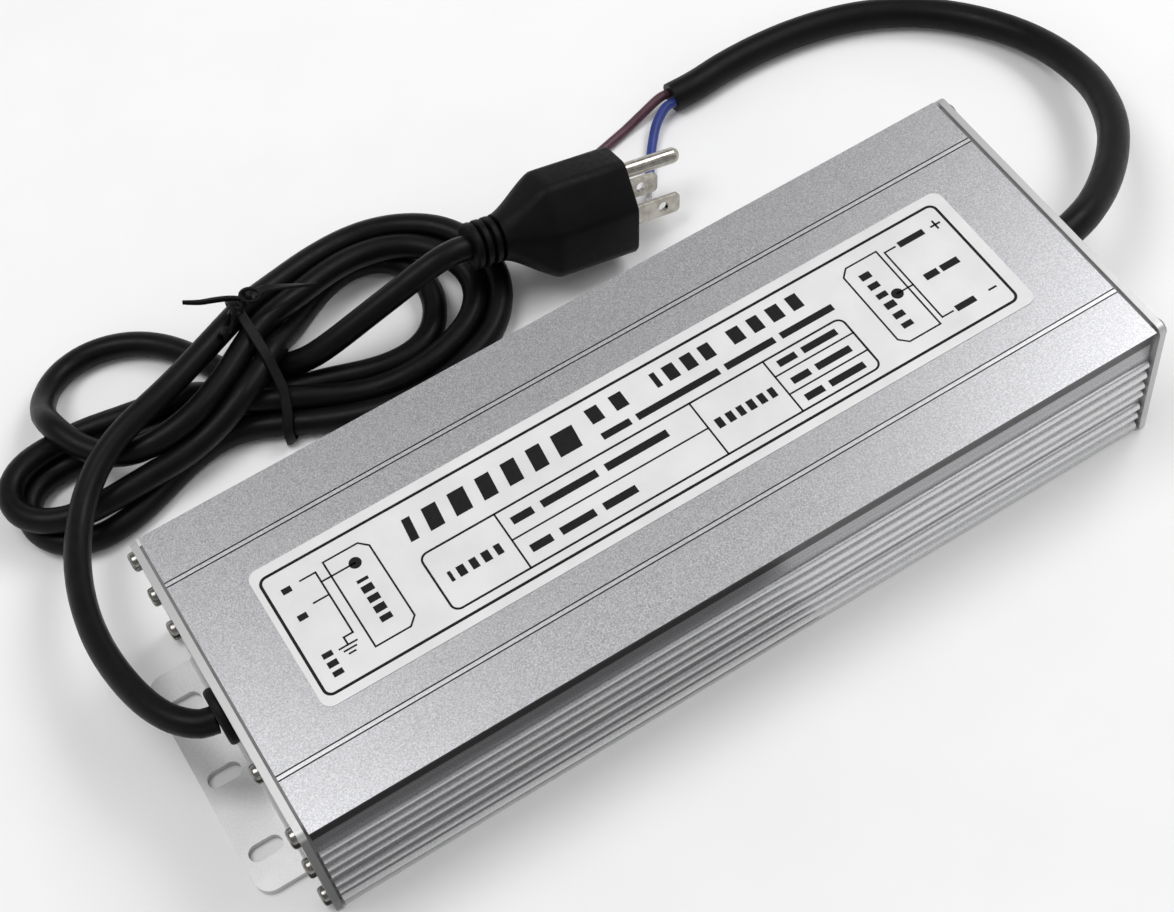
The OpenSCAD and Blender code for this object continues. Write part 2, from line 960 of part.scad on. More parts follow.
// The plug's face, square below the blades and drawn in towards the ground pin
module plug_face() {
    corner = plug_corner;
    hull() {
        for (side = [-1, 1]) {
            translate([side * (plug_width / 2 - corner), corner - plug_low])
                circle(corner, $fn = 24);
            translate([side * (plug_width / 2 - corner), 2])
                circle(corner, $fn = 24);
            translate([side * (plug_top_width / 2 - corner), plug_high - corner])
                circle(corner, $fn = 24);
        }
    }
}

module plug_body() {
    ridge = collar_length / 3;
    color("black")
        at_plug() {
            translate([-plug_shoulder, 0, 0])
                along_x(plug_shoulder)
                    plug_face();
            hull() {
                translate([-plug_shoulder - e, 0, 0])
                    along_x(2 * e)
                        plug_face();
                translate([-plug_length, 0, 0])
                    rotate([0, 90, 0])
                        cylinder(d = collar_diameter, h = 2 * e, $fn = 32);
            }
            translate([-plug_length - collar_length, 0, 0]) {
                rod_x(collar_diameter / 2 - 1.2, collar_length + e);
                for (i = [0:2])
                    translate([i * ridge, 0, 0])
                        rod_x(collar_diameter / 2, ridge * 0.62);
            }
        }
}

module flat_blade(side) {
    at_plug()
        translate([0, side * blade_spacing / 2 + blade_thickness / 2, blade_line])
            rotate([90, 0, 0])
                linear_extrude(blade_thickness)
                    difference() {
                        union() {
                            translate([0, -blade_width / 2])
                                square([blade_length - 1.4, blade_width]);
                            translate([0, -blade_width / 2 + 1.4])
                                square([blade_length, blade_width - 2.8]);
                            for (s = [-1, 1])
                                translate([blade_length - 1.4, s * (blade_width / 2 - 1.4)])
                                    circle(1.4);
                        }
                        translate([blade_length * 0.68, 0])
                            circle(1.6);
                    }
}

module line_blade() {
    color("silver") flat_blade(-1);
}

module neutral_blade() {
    color("silver") flat_blade(1);
}

module ground_pin() {
    color("silver")
        at_plug()
            translate([0, 0, pin_rise]) {
                rod_x(pin_diameter / 2, pin_length - pin_diameter / 2);
                translate([pin_length - pin_diameter / 2, 0, 0])
                    sphere(d = pin_diameter);
            }
}

// The lead from the hank into the plug's collar
module plug_cord() {
    color("black") tube(plug_points, mains_diameter);
}

// Low-voltage lead and its two cores

module output_cord() {
    color("black") tube(routed(output_points, 1, output_rest, 4.75), output_diameter);
}

module brown_lead() {
    color("saddlebrown") tube(brown_points, lead_diameter, 8);
}

module blue_lead() {
    color("royalblue") tube(blue_points, lead_diameter, 8);
}

module brown_lead_tip() {
    color("silver") tube(brown_tip_points, tip_diameter, 8);
}

module blue_lead_tip() {
    color("silver") tube(blue_tip_points, tip_diameter, 8);
}

case_extrusion();
input_end_plate();
output_end_plate();
input_gasket();
output_gasket();
input_end_screws();
output_end_screws();
input_grommet();
output_grommet();
rating_label();
insulating_sheet();
potting_compound();
board_spacers();
circuit_board();
mains_fuse();
surge_varistor();
inrush_thermistor();
line_capacitor();
choke_core();
choke_windings();
bridge_rectifier();
bulk_capacitors();
primary_heat_bar();
secondary_heat_bar();
thermal_pads();
switching_transistors();
output_rectifiers();
transformer_core();
transformer_winding();
inductor_core();
inductor_winding();
output_capacitors();
control_chip();
optocoupler();
input_inner_lead();
output_inner_lead();
mains_wires();
output_wires();
input_cord();
input_cord_hank();
cord_tie();
plug_cord();
plug_body();
line_blade();
neutral_blade();
ground_pin();
output_cord();
brown_lead();
blue_lead();
brown_lead_tip();
blue_lead_tip();
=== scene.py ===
# %% [markdown]
# # An LED driver, dressed for the studio
# The real object is a sealed power supply for LED strips: a silver aluminium box with a mains
# lead tied in a bundle at one end and a short low-voltage lead at the other.
# The CAD model already fixes every size, so this lesson only adds what makes it look real:
# rounded edges, settled cords, a moulded plug, printed lines and procedural materials.
# All lengths are typed in millimetres and turned into metres by MM.

import json
import math

import bmesh
import bpy
import numpy as np
from mathutils import Matrix, Vector


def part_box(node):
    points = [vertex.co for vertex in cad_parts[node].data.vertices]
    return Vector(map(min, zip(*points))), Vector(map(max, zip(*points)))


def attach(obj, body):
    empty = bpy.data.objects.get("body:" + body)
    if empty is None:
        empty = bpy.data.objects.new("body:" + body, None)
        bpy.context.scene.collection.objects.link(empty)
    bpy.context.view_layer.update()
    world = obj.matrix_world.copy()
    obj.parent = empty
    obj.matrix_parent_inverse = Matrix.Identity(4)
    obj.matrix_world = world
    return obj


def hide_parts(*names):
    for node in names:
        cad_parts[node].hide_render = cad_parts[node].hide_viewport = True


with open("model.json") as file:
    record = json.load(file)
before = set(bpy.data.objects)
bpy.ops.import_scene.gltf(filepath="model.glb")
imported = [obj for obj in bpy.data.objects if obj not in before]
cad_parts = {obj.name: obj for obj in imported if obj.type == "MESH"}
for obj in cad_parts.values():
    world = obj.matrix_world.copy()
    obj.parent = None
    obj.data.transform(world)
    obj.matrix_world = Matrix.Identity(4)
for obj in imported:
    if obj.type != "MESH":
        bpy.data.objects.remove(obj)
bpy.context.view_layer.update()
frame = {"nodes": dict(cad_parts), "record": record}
nodes = frame["nodes"]
scene = bpy.context.scene
scene.view_settings.view_transform = "Standard"
MM = 0.001
print("CAD nodes:", len(nodes))

# %% [markdown]
# ## The camera
# The photograph looks down on the driver from the front, over its mains end.
# The camera could be aimed by hand with a tracking constraint. Here its three axes were worked
# out from the straight edges of the case, so they are typed in and become the columns of its
# rotation.

# %% Camera
CAMERA_PLACE = Vector((-131.62, -268.75, 510.94)) * MM
CAMERA_RIGHT = (0.8507, -0.5173, -0.0930)
CAMERA_UP = (0.4824, 0.6981, 0.5291)
CAMERA_BACK = (-0.2088, -0.4950, 0.8435)
CAMERA_LENS, CAMERA_SENSOR = 65.6, 36
NEAREST_SEEN = 0.01


def put(name, data):
    """A new object at the origin of the scene."""
    made = bpy.data.objects.new(name, data)
    scene.collection.objects.link(made)
    return made


camera = put("camera", bpy.data.cameras.new("camera"))
turn = Matrix((CAMERA_RIGHT, CAMERA_UP, CAMERA_BACK)).transposed()
camera.matrix_world = Matrix.Translation(CAMERA_PLACE) @ turn.to_4x4()
camera.data.lens = CAMERA_LENS
camera.data.sensor_width = CAMERA_SENSOR
camera.data.clip_start = NEAREST_SEEN
scene.camera = camera
print("camera at", [round(v, 3) for v in camera.location])

# %% [markdown]
# ## Materials from nodes
# Every surface here gets its colour, gloss and fine relief from noise in Object coordinates.
# An image texture would need UV maps and files. Noise needs neither, and because every piece
# sits at the origin, Object coordinates are simply metres, so a grain of 0.4 mm is a noise of
# scale 2500. The small class below keeps the node wiring short.

# %% A helper that wires materials
RAMP_ENDS = ("From Min", "From Max", "To Min", "To Max")
NOISE_LOW, NOISE_HIGH = 0.3, 0.7
# The Mix node repeats its socket names for each kind of data; these are the ones for colour
MIX_SHARE, MIX_UNDER, MIX_OVER, MIX_RESULT = 0, 6, 7, 2


class Finish:
    """One procedural material, built step by step around a Principled BSDF."""

    def __init__(self, name, metallic=0.0, roughness=0.5, specular=0.5):
        self.material = bpy.data.materials.new(name)
        self.material.use_nodes = True
        self.tree = self.material.node_tree
        self.shader = self.tree.nodes["Principled BSDF"]
        self.shader.inputs["Metallic"].default_value = metallic
        self.shader.inputs["Roughness"].default_value = roughness
        self.shader.inputs["Specular IOR Level"].default_value = specular

    def node(self, kind, inputs=(), **settings):
        """Adds a node; each input is linked to another node's output or set to a value."""
        made = self.tree.nodes.new(kind)
        for name, value in settings.items():
            setattr(made, name, value)
        for name, value in inputs:
            if isinstance(value, bpy.types.NodeSocket):
                self.tree.links.new(value, made.inputs[name])
            else:
                made.inputs[name].default_value = value
        return made

    def feed(self, name, source):
        """Links an output to one input of the shader."""
        self.tree.links.new(source, self.shader.inputs[name])

    def place(self, stretch=(1, 1, 1), turn=(0, 0, 0)):
        """Object coordinates, stretched and turned."""
        coords = self.node("ShaderNodeTexCoord").outputs["Object"]
        inputs = [("Vector", coords), ("Scale", stretch), ("Rotation", turn)]
        return self.node("ShaderNodeMapping", inputs).outputs["Vector"]

    def noise(self, size, detail=2.0, stretch=(1, 1, 1)):
        """Noise with grains of about size millimetres."""
        inputs = [("Vector", self.place(stretch)), ("Scale", 1 / (size * MM)), ("Detail", detail)]
        return self.node("ShaderNodeTexNoise", inputs).outputs["Fac"]

    def stripes(self, size, direction="X", turn=(0, 0, 0)):
        """Stripes that repeat every size millimetres; at scale 1 a wave repeats every pi / 10."""
        scale = math.pi / (10 * size * MM)
        inputs = [("Vector", self.place(turn=turn)), ("Scale", scale)]
        return self.node("ShaderNodeTexWave", inputs, bands_direction=direction).outputs["Fac"]

    def maths(self, operation, *values):
        """One Math node; each value is a number or another node's output."""
        return self.node("ShaderNodeMath", enumerate(values), operation=operation).outputs[0]

    def both(self, first, second):
        """Where two masks meet."""
        return self.maths("MULTIPLY", first, second)

    def blend(self, first, second, share):
        """The first value plus a share of the second."""
        return self.maths("MULTIPLY_ADD", second, share, first)

    def ramp(self, value, start, end, first, last):
        """Goes from first to last while the value goes from start to end."""
        inputs = zip(("Value", *RAMP_ENDS), (value, start, end, first, last))
        return self.node("ShaderNodeMapRange", inputs).outputs["Result"]

    def spot(self, axis):
        """One Object coordinate of the point on the surface."""
        return self.node("ShaderNodeSeparateXYZ", [("Vector", self.place())]).outputs[axis]

    def facing(self, axis):
        """One part of the direction that the surface faces."""
        normal = self.node("ShaderNodeNewGeometry").outputs["True Normal"]
        return self.node("ShaderNodeSeparateXYZ", [("Vector", normal)]).outputs[axis]

    def colour(self, fac, dark, light, low=0.35, high=0.65):
        """Base colour from dark to light while fac goes from low to high."""
        made = self.node("ShaderNodeValToRGB", [("Fac", fac)])
        first, last = made.color_ramp.elements
        first.position, first.color = low, (*dark, 1)
        last.position, last.color = high, (*light, 1)
        self.feed("Base Color", made.outputs["Color"])

    def cover(self, mask, tone, way="MIX"):
        """Lays one tone over the colour where the mask is 1; MULTIPLY keeps the grain below it."""
        under = self.shader.inputs["Base Color"].links[0].from_socket
        inputs = [(MIX_SHARE, mask), (MIX_UNDER, under), (MIX_OVER, (*tone, 1))]
        made = self.node("ShaderNodeMix", inputs, data_type="RGBA", blend_type=way)
        self.feed("Base Color", made.outputs[MIX_RESULT])

    def gloss(self, fac, smooth, rough):
        """Roughness that wanders between smooth and rough with a noise."""
        self.feed("Roughness", self.ramp(fac, NOISE_LOW, NOISE_HIGH, smooth, rough))

    def relief(self, height, depth, strength=0.5):
        """Fine bumps, depth millimetres high."""
        inputs = [("Height", height), ("Distance", depth * MM), ("Strength", strength)]
        self.feed("Normal", self.node("ShaderNodeBump", inputs).outputs["Normal"])


print("material helper ready")

# %% [markdown]
# ## Colours and plain plastics
# Colours are easiest to read as the levels 0 to 255 of a paint program, but a shader wants them
# linear, so the sRGB curve is undone first.
# Most plastics and rubbers differ only in numbers: a faintly mottled colour, an uneven gloss
# and fine bumps. A node tree drawn for each would be long, so one function makes them.

# %% Colours and plain finishes
MOTTLE_SIZE, SHEEN_SIZE, SHEEN_SPREAD = 6, 2.5, 0.06


def grey(level):
    """A neutral colour from its sRGB level, 0 to 255."""
    part = level / 255
    return 3 * (part / 12.92 if part < 0.04 else ((part + 0.055) / 1.055) ** 2.4,)


def rgb(red, green, blue):
    """A colour from its sRGB levels, 0 to 255."""
    return tuple(grey(level)[0] for level in (red, green, blue))


def coated(name, tones, mottle, sheen, bumps, **values):
    """Mottled colour, uneven gloss, fine bumps; each starts with its noise's size and detail."""
    made = Finish(name, **values)
    made.colour(made.noise(*mottle), *tones)
    made.gloss(made.noise(*sheen[:2]), *sheen[2:])
    made.relief(made.noise(*bumps[:2]), *bumps[2:])
    return made.material


def moulded(name, dark, light, grain, roughness, metallic=0.0, depth=0.03, specular=0.5):
    """A plain moulded or cast surface with a fine grain."""
    sheen = (SHEEN_SIZE, 3, roughness - SHEEN_SPREAD, roughness + SHEEN_SPREAD)
    return coated(
        name, (dark, light), (MOTTLE_SIZE, 4), sheen, (grain, 2, depth, 0.4),
        metallic=metallic, roughness=roughness, specular=specular,
    )


print("middle grey is", round(grey(128)[0], 3), "in linear light")

# %% [markdown]
# ## Floor and walls
# A product photographer would use white paper and white walls. The floor is one plane of pale
# paper, and it keeps the shadow. Modelled walls would only be seen as reflections, so the world
# stands in for them: a plain gradient, white at the horizon and dimmer overhead. Flat metal
# mirrors that, so the case shows a soft fall of light instead of one even tone.

# %% Floor and world
# Rectangles are left, front, right and back edge
FLOOR, FLOOR_DROP = (-4.0, -4.0, 4.0, 4.0), 0.0002
WALLS, CEILING = 1.0, 0.34
WALLS_END, CEILING_START = 0.1, 0.6


def sheet(name, x0, y0, x1, y1, z, material):
    """One flat rectangle of the studio."""
    mesh = bpy.data.meshes.new(name)
    corners = [(x0, y0, z), (x1, y0, z), (x1, y1, z), (x0, y1, z)]
    mesh.from_pydata(corners, [], [(0, 1, 2, 3)])
    mesh.materials.append(material)
    return put(name, mesh)


paper = Finish("floor_paper", roughness=0.8, specular=0.2)
paper.colour(paper.noise(40, 3), grey(244), grey(246))
floor = sheet("floor", *FLOOR, -FLOOR_DROP, paper.material)

world = bpy.data.worlds.new("studio")
scene.world = world
world.use_nodes = True
tree = world.node_tree
background = tree.nodes["Background"]
background.inputs["Color"].default_value = (1, 1, 1, 1)
coords = tree.nodes.new("ShaderNodeTexCoord")
parts = tree.nodes.new("ShaderNodeSeparateXYZ")
level = tree.nodes.new("ShaderNodeMapRange")
for name, number in zip(RAMP_ENDS, (WALLS_END, CEILING_START, WALLS, CEILING)):
    level.inputs[name].default_value = number
tree.links.new(coords.outputs["Generated"], parts.inputs[0])
tree.links.new(parts.outputs["Z"], level.inputs["Value"])
tree.links.new(level.outputs["Result"], background.inputs["Strength"])
print("floor", FLOOR[2] - FLOOR[0], "m wide and a world")

# %% [markdown]
# ## Lamps and a grey card
# A soft box hangs on each side, and a smaller one in front opens the shadows. Area lamps give
# such soft edges; point lamps would cut hard ones.
# A grey card lies before the case. It is hidden from the camera and casts nothing, so it shows
# only as a reflection, which darkens the left half of the near wall as a studio card would.

# %% Lamps and the card
LAMP_AIM = Vector((0, 0.03, 0))
SOFT_BOXES = [
    ("left_box", (-0.36, 0.2, 1.15), (0.6, 0.6), 5.2),
    ("right_box", (0.86, 0.18, 1.1), (0.6, 0.6), 5.8),
    ("front_box", (0.6, -0.32, 1.1), (0.6, 0.4), 2.0),
]
CARD = (-0.6, -0.4, 0.02, -0.0495)


def soft_box(name, place, size, watts):
    """An area lamp turned to the middle of the scene."""
    lamp = bpy.data.lights.new(name, "AREA")
    lamp.shape = "RECTANGLE"
    lamp.size, lamp.size_y = size
    lamp.energy = watts
    made = put(name, lamp)
    made.location = place
    made.rotation_mode = "QUATERNION"
    made.rotation_quaternion = (LAMP_AIM - Vector(place)).to_track_quat("-Z", "Y")


for box in SOFT_BOXES:
    soft_box(*box)

cloth = moulded("flag_cloth", grey(82), grey(94), 1.0, 0.8, specular=0.1)
flag = sheet("flag", *CARD, 0, cloth)
flag.visible_camera = False
flag.visible_diffuse = False
flag.visible_shadow = False
print(len(SOFT_BOXES), "soft boxes and a card")

# %% [markdown]
# ## Cord routes
# A cord is a fixed length of something springy, so its route is a short list of points that a
# smooth curve runs through. A Bezier could be drawn by hand, but its handles need care at every
# point. A Catmull-Rom spline passes through the points by itself, and the result is cut into
# even steps.

# %% Smooth a route
CURVE_STEPS = 24


def even_steps(line, step):
    """The same line, cut into even steps."""
    walked = np.r_[0, np.cumsum(np.linalg.norm(np.diff(line, axis=0), axis=1))]
    places = np.linspace(0, walked[-1], int(round(walked[-1] / step)) + 1)
    return np.stack([np.interp(places, walked, line[:, k]) for k in range(3)], 1)


def smooth_route(points, step):
    """A centripetal Catmull-Rom curve through the points, in even steps."""
    points = np.array(points, float)
    ring = np.vstack([2 * points[0] - points[1], points, 2 * points[-1] - points[-2]])
    line = []
    for p0, p1, p2, p3 in zip(ring, ring[1:], ring[2:], ring[3:]):
        t1 = np.linalg.norm(p1 - p0) ** 0.5
        t2 = t1 + np.linalg.norm(p2 - p1) ** 0.5
        t3 = t2 + np.linalg.norm(p3 - p2) ** 0.5
        t = np.linspace(t1, t2, CURVE_STEPS, endpoint=False)[:, None]
        a1 = ((t1 - t) * p0 + t * p1) / t1
        a2 = ((t2 - t) * p1 + (t - t1) * p2) / (t2 - t1)
        a3 = ((t3 - t) * p2 + (t - t2) * p3) / (t3 - t2)
        b1 = ((t2 - t) * a1 + t * a2) / t2
        b2 = ((t3 - t) * a2 + (t - t1) * a3) / (t3 - t1)
        line.append(((t2 - t) * b1 + (t - t1) * b2) / (t2 - t1))
    return even_steps(np.vstack(line + [points[-1:]]), step)


def length_of(line):
    return float(np.linalg.norm(np.diff(line, axis=0), axis=1).sum())


print("route helpers ready")

# %% [markdown]
# ## Settling a cord
# A real cord can't pass through itself and doesn't bend sharply. A physics run could settle it,
# but its result shifts with every change. A few hundred small moves do it here: strands push
# each other apart to one diameter, bends even out, and nothing sinks into the floor.
# The settled line becomes a curve with a round bevel.

# %% Settle a route
# Points nearer than this along the cord, in diameters, don't push each other
NEAR_ALONG = 3.2
HELD_POINTS = 3
PUSH_SHARE, LONGEST_MOVE = 0.35, 1.2
CORD_ROUNDNESS = 5


def settle(line, thickness, step, rounds=400, pull=0.01, stiffness=0.8):
    """Pushes strands apart, evens out bends and keeps the cord on the floor."""
    goal = line.copy()
    count = np.arange(len(line))
    apart = np.abs(count[:, None] - count[None]) > int(NEAR_ALONG * thickness / step)
    held = (count < HELD_POINTS) | (count >= len(line) - HELD_POINTS)
    for _ in range(rounds):
        move = pull * (goal - line)
        move[2:-2] += stiffness * (
            4 * line[1:-3] + 4 * line[3:-1] - 6 * line[2:-2] - line[:-4] - line[4:]
        ) / 16
        gap = line[:, None] - line[None]
        far = np.linalg.norm(gap, axis=2) + 1e-6
        push = np.where(apart & (far < thickness), (thickness - far) / far * PUSH_SHARE, 0)
        move += (push[:, :, None] * gap).sum(1)
        move[held] = 0
        size = np.linalg.norm(move, axis=1, keepdims=True)
        line = line + move * np.minimum(1, LONGEST_MOVE / np.maximum(size, 1e-6))
        line[:, 2] = np.maximum(line[:, 2], thickness / 2)
    return line


def cord_curve(name, line, thickness, material):
    """A curve object of one open spline with a round section."""
    curve = bpy.data.curves.new(name, "CURVE")
    curve.dimensions = "3D"
    curve.bevel_depth = thickness / 2 * MM
    curve.bevel_resolution = CORD_ROUNDNESS
    curve.use_fill_caps = True
    spline = curve.splines.new("POLY")
    spline.points.add(len(line) - 1)
    spline.points.foreach_set("co", np.c_[line * MM, np.ones(len(line))].ravel())
    spline.use_smooth = True
    curve.materials.append(material)
    return put(name, curve)


print("cord helpers ready")

# %% [markdown]
# ## The mains lead
# About 1.3 m of round black lead leaves the grommet, is folded three times into a flat bundle
# and ends in the plug, which lies on top. The photograph shows it from end to end.
# The strands were followed fold by fold and written down as rounded points. The last
# points lie on the plug's own line, so that the lead runs straight into its collar.

# %% Route of the mains lead
MAINS_DIAMETER = 7.5
COLLAR_PLACE = Vector((-2.8, 96.0, 26.0))
PLUG_FULL = 49.5
PLUG_YAW = math.radians(1.4)
PLUG_FACE_HEIGHT = 14.83
PLUG_PITCH = math.asin((COLLAR_PLACE.z - PLUG_FACE_HEIGHT) / PLUG_FULL)
PLUG_AXIS = Vector((
    math.cos(PLUG_PITCH) * math.cos(PLUG_YAW),
    -math.cos(PLUG_PITCH) * math.sin(PLUG_YAW),
    -math.sin(PLUG_PITCH),
))
STRAIGHT_LEAD = 6

LEAVING = [
    (-130.5, 0, 30), (-132, 0, 30), (-135, 1.4, 30.1), (-138, 4, 30.1), (-140.6, 7.8, 29.8),
    (-142.8, 12.6, 29.3), (-144.6, 18.6, 28.5), (-146, 26, 27.4), (-147, 35, 26),
    (-146.9, 45, 24.4), (-145.4, 55.5, 22.9), (-142.9, 65.5, 21.5), (-139, 75, 20.5),
]
OUTER_ARCH = [
    (-132, 86, 20.5), (-122, 95, 22), (-111, 100, 23), (-98, 104, 23), (-86, 110, 22),
    (-75, 115, 21), (-65, 120, 19), (-54, 124, 16.5), (-42, 128, 14.5), (-27, 130, 12.5),
    (-14, 127, 11.5), (-5, 119, 11), (1, 109, 10.5), (3, 99, 8.5), (1, 90, 6), (-6, 82, 4.5),
    (-18, 78, 4), (-35, 77, 4),
]
LOWER_FOLD = [
    (-49, 80, 4), (-59, 84, 4), (-68, 88, 4), (-77, 92, 4), (-87, 94, 4), (-98, 93, 4),
    (-110, 89, 4), (-122, 85, 4), (-134, 84, 4), (-143, 88, 4), (-148, 96, 4), (-147, 105, 4),
    (-141, 111, 4), (-132, 113, 4), (-121, 112, 4), (-109, 109, 4), (-92, 106, 4), (-77, 102, 4),
]
INNER_ARCH = [
    (-63, 96, 4), (-53, 91, 4), (-43, 86, 4), (-33, 85, 4), (-24, 89, 4), (-17, 98, 4),
    (-14, 109, 4), (-17, 119, 4), (-25, 126, 4), (-35, 126, 4.5), (-46, 121, 6), (-57, 112, 9),
]
UPPER_FOLD = [
    (-70, 101, 13), (-84, 95, 13), (-97, 92, 12), (-109, 90, 11.5), (-122, 89, 11), (-134, 89, 11),
    (-144, 92, 11), (-150, 99, 11), (-150, 107, 11), (-144, 113, 11), (-135, 115, 11),
    (-126, 114, 10.5), (-115, 112, 10), (-104, 110, 8.5), (-90, 107, 6), (-75, 100, 4.5),
    (-57, 89, 4), (-42, 82, 4),
]
MIDDLE_ARCH = [
    (-27, 82, 4.5), (-13, 86, 5.5), (-4, 93, 7), (-1, 102, 8.5), (-4, 111, 10), (-13, 119, 11),
    (-25, 122, 12.5), (-37, 122, 14), (-51, 118, 15.5), (-63, 113, 17), (-74, 107, 18),
    (-85, 100, 17),
]
LEFT_LOOP = [
    (-97, 95, 16), (-109, 95, 15), (-119, 99, 14.5), (-126, 107, 14.5), (-130, 119, 12),
    (-129, 132, 8), (-122, 141, 5), (-111, 144, 4), (-98, 140, 4), (-88, 131, 4), (-82, 121, 4),
    (-77, 110, 4.5),
]
TO_PLUG = [
    (-71.5, 103, 5.5), (-65, 100.4, 8), (-58, 99, 11), (-50, 97.8, 14.5), (-41.5, 97, 18),
    (-32, 96.4, 21.4), (-24, 95.8, 24.2), (-16, 95.8, 26.4),
    tuple(COLLAR_PLACE - STRAIGHT_LEAD * PLUG_AXIS), tuple(COLLAR_PLACE),
]
mains_route = LEAVING + OUTER_ARCH + LOWER_FOLD + INNER_ARCH
mains_route += UPPER_FOLD + MIDDLE_ARCH + LEFT_LOOP + TO_PLUG
print("mains lead through", len(mains_route), "points")

# %% [markdown]
# ## Its sheath
# The sheath is soft black plastic with a slight sheen. A braided one would need a pattern that
# follows the cord. A plain one only needs a little noise in its gloss and relief.
# The CAD solids that the lead takes the place of are hidden.

# %% Mains lead
CORD_STEP, FINE_STEP = 4.0, 2.0


def finish_piece(piece, slot, *replaced):
    """Puts a piece on the root body and hides the CAD nodes that it replaces; slot is not used."""
    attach(piece, "root")
    if replaced:
        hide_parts(*replaced)
    return piece


CORD_SHEATH = coated(
    "cord_sheath", (grey(7), grey(12)), (9, 3), (3, 3, 0.34, 0.47), (0.8, 3, 0.05, 0.25),
    roughness=0.4, specular=0.14,
)
mains_line = settle(smooth_route(mains_route, CORD_STEP), MAINS_DIAMETER, CORD_STEP)
mains_fine = smooth_route(mains_line, FINE_STEP)
mains_lead = cord_curve("mains_lead", mains_fine, MAINS_DIAMETER, CORD_SHEATH)
finish_piece(mains_lead, "cord_sheath", "input_cord", "input_cord_hank", "plug_cord")
print("mains lead", round(length_of(mains_fine)), "mm")

# %% [markdown]
# ## The low-voltage lead and its two cores
# A thicker black lead leaves the far end, swings round in one free curve and lies down beside
# the plug. Its sheath stops short there, and the brown and blue cores stick out with bright
# tinned ends. Each is one curve through the same points as its CAD solid.

# %% Low-voltage lead
OUTPUT_DIAMETER, CORE_DIAMETER = 9.5, 3.0
CORE_STEP = 1.0
OUTPUT_ROUTE = [
    (130.5, 0, 30), (135.5, 0, 30), (144, 2.4, 29.2), (152, 6.5, 27.3), (160, 12, 25.2),
    (168, 19, 22.7), (175.5, 27.5, 20), (181.5, 37.5, 17), (186, 49, 13.5), (188, 61.5, 10.2),
    (187.5, 74, 7.6), (184, 86.5, 5.8), (177.5, 98, 4.9), (168.5, 108, 4.75), (157.5, 116, 4.75),
    (145, 121.8, 4.75), (131, 125.4, 4.75), (117, 127, 4.75), (104, 127, 4.75), (93, 126, 4.75),
    (84, 126, 4.75),
]
BROWN_ROUTE = [
    (84, 128.1, 4.75), (81, 128.1, 4.75), (74, 127, 3.2), (67, 125.6, 1.9), (60, 124, 1.5),
    (53, 122.2, 1.5), (46, 120.4, 1.5),
]
BLUE_ROUTE = [
    (84, 123.9, 4.75), (81, 123.9, 4.75), (75.5, 121, 3.4), (71, 116.5, 2.1), (67, 111.5, 1.6),
    (64, 107.3, 1.5), (61.5, 103.5, 1.5),
]

BROWN_CORE = moulded("brown_core", rgb(66, 36, 46), rgb(86, 50, 62), 0.6, 0.42)
BLUE_CORE = moulded("blue_core", rgb(20, 42, 116), rgb(32, 60, 142), 0.6, 0.42)

output_line = smooth_route(OUTPUT_ROUTE, FINE_STEP)
output_lead = cord_curve("output_lead", output_line, OUTPUT_DIAMETER, CORD_SHEATH)
brown_line = smooth_route(BROWN_ROUTE, CORE_STEP)
brown_core = cord_curve("brown_core", brown_line, CORE_DIAMETER, BROWN_CORE)
blue_line = smooth_route(BLUE_ROUTE, CORE_STEP)
blue_core = cord_curve("blue_core", blue_line, CORE_DIAMETER, BLUE_CORE)
finish_piece(output_lead, "cord_sheath", "output_cord")
finish_piece(brown_core, "brown_core", "brown_lead")
finish_piece(blue_core, "blue_core", "blue_lead")
for name, route in (("lead", output_line), ("brown core", brown_line), ("blue core", blue_line)):
    print(name, round(length_of(route)), "mm")

# %% [markdown]
# ## Rounded shapes from loops
# Many pieces are a row of closed loops with skin between them: a plug body, a grommet, a strap.
# Subdivision surfaces would round them too, but loops give exact control of every edge.
# The helper joins loops of equal length into one closed skin and can shade it smooth.

# %% Skin between loops
def mesh_from(bm, name, angle):
    """Turns a bmesh into a mesh that is shaded smooth up to an angle."""
    mesh = bpy.data.meshes.new(name)
    bm.to_mesh(mesh)
    bm.free()
    mesh.shade_smooth()
    mesh.set_sharp_from_angle(angle=math.radians(angle))
    return mesh


def add_object(name, bm, material, smooth=30):
    """Writes a bmesh in millimetres to an object at the origin, in metres."""
    bmesh.ops.scale(bm, vec=(MM, MM, MM), verts=bm.verts)
    bmesh.ops.recalc_face_normals(bm, faces=bm.faces)
    mesh = mesh_from(bm, name, smooth)
    mesh.materials.append(material)
    return put(name, mesh)


def bridge(bm, rows, close=False):
    """Faces between closed rows of points; close also joins the last row to the first."""
    for row, after in zip(rows, rows[1:] + rows[:1] if close else rows[1:]):
        for i in range(len(row)):
            j = (i + 1) % len(row)
            bm.faces.new((row[i], row[j], after[j], after[i]))


def skin(bm, loops):
    """Closed skin over loops of points, with a cap at both ends."""
    rows = [[bm.verts.new(point) for point in loop] for loop in loops]
    bridge(bm, rows)
    bm.faces.new(rows[0])
    bm.faces.new(rows[-1])


def circle(count, phase=0.0):
    """Directions round a circle, as (cosine, sine)."""
    angles = [2 * math.pi * (k + phase) / count for k in range(count)]
    return [(math.cos(angle), math.sin(angle)) for angle in angles]


def hull_outline(discs, inset=0.0, count=72):
    """Outline of a band stretched round discs (y, z, radius), one point for each direction."""
    outline = []
    for y, z in circle(count, 0.5):
        best = max(discs, key=lambda d: d[0] * y + d[1] * z + d[2])
        outline.append((best[0] + (best[2] - inset) * y, best[1] + (best[2] - inset) * z))
    return outline


print("loop helpers ready")

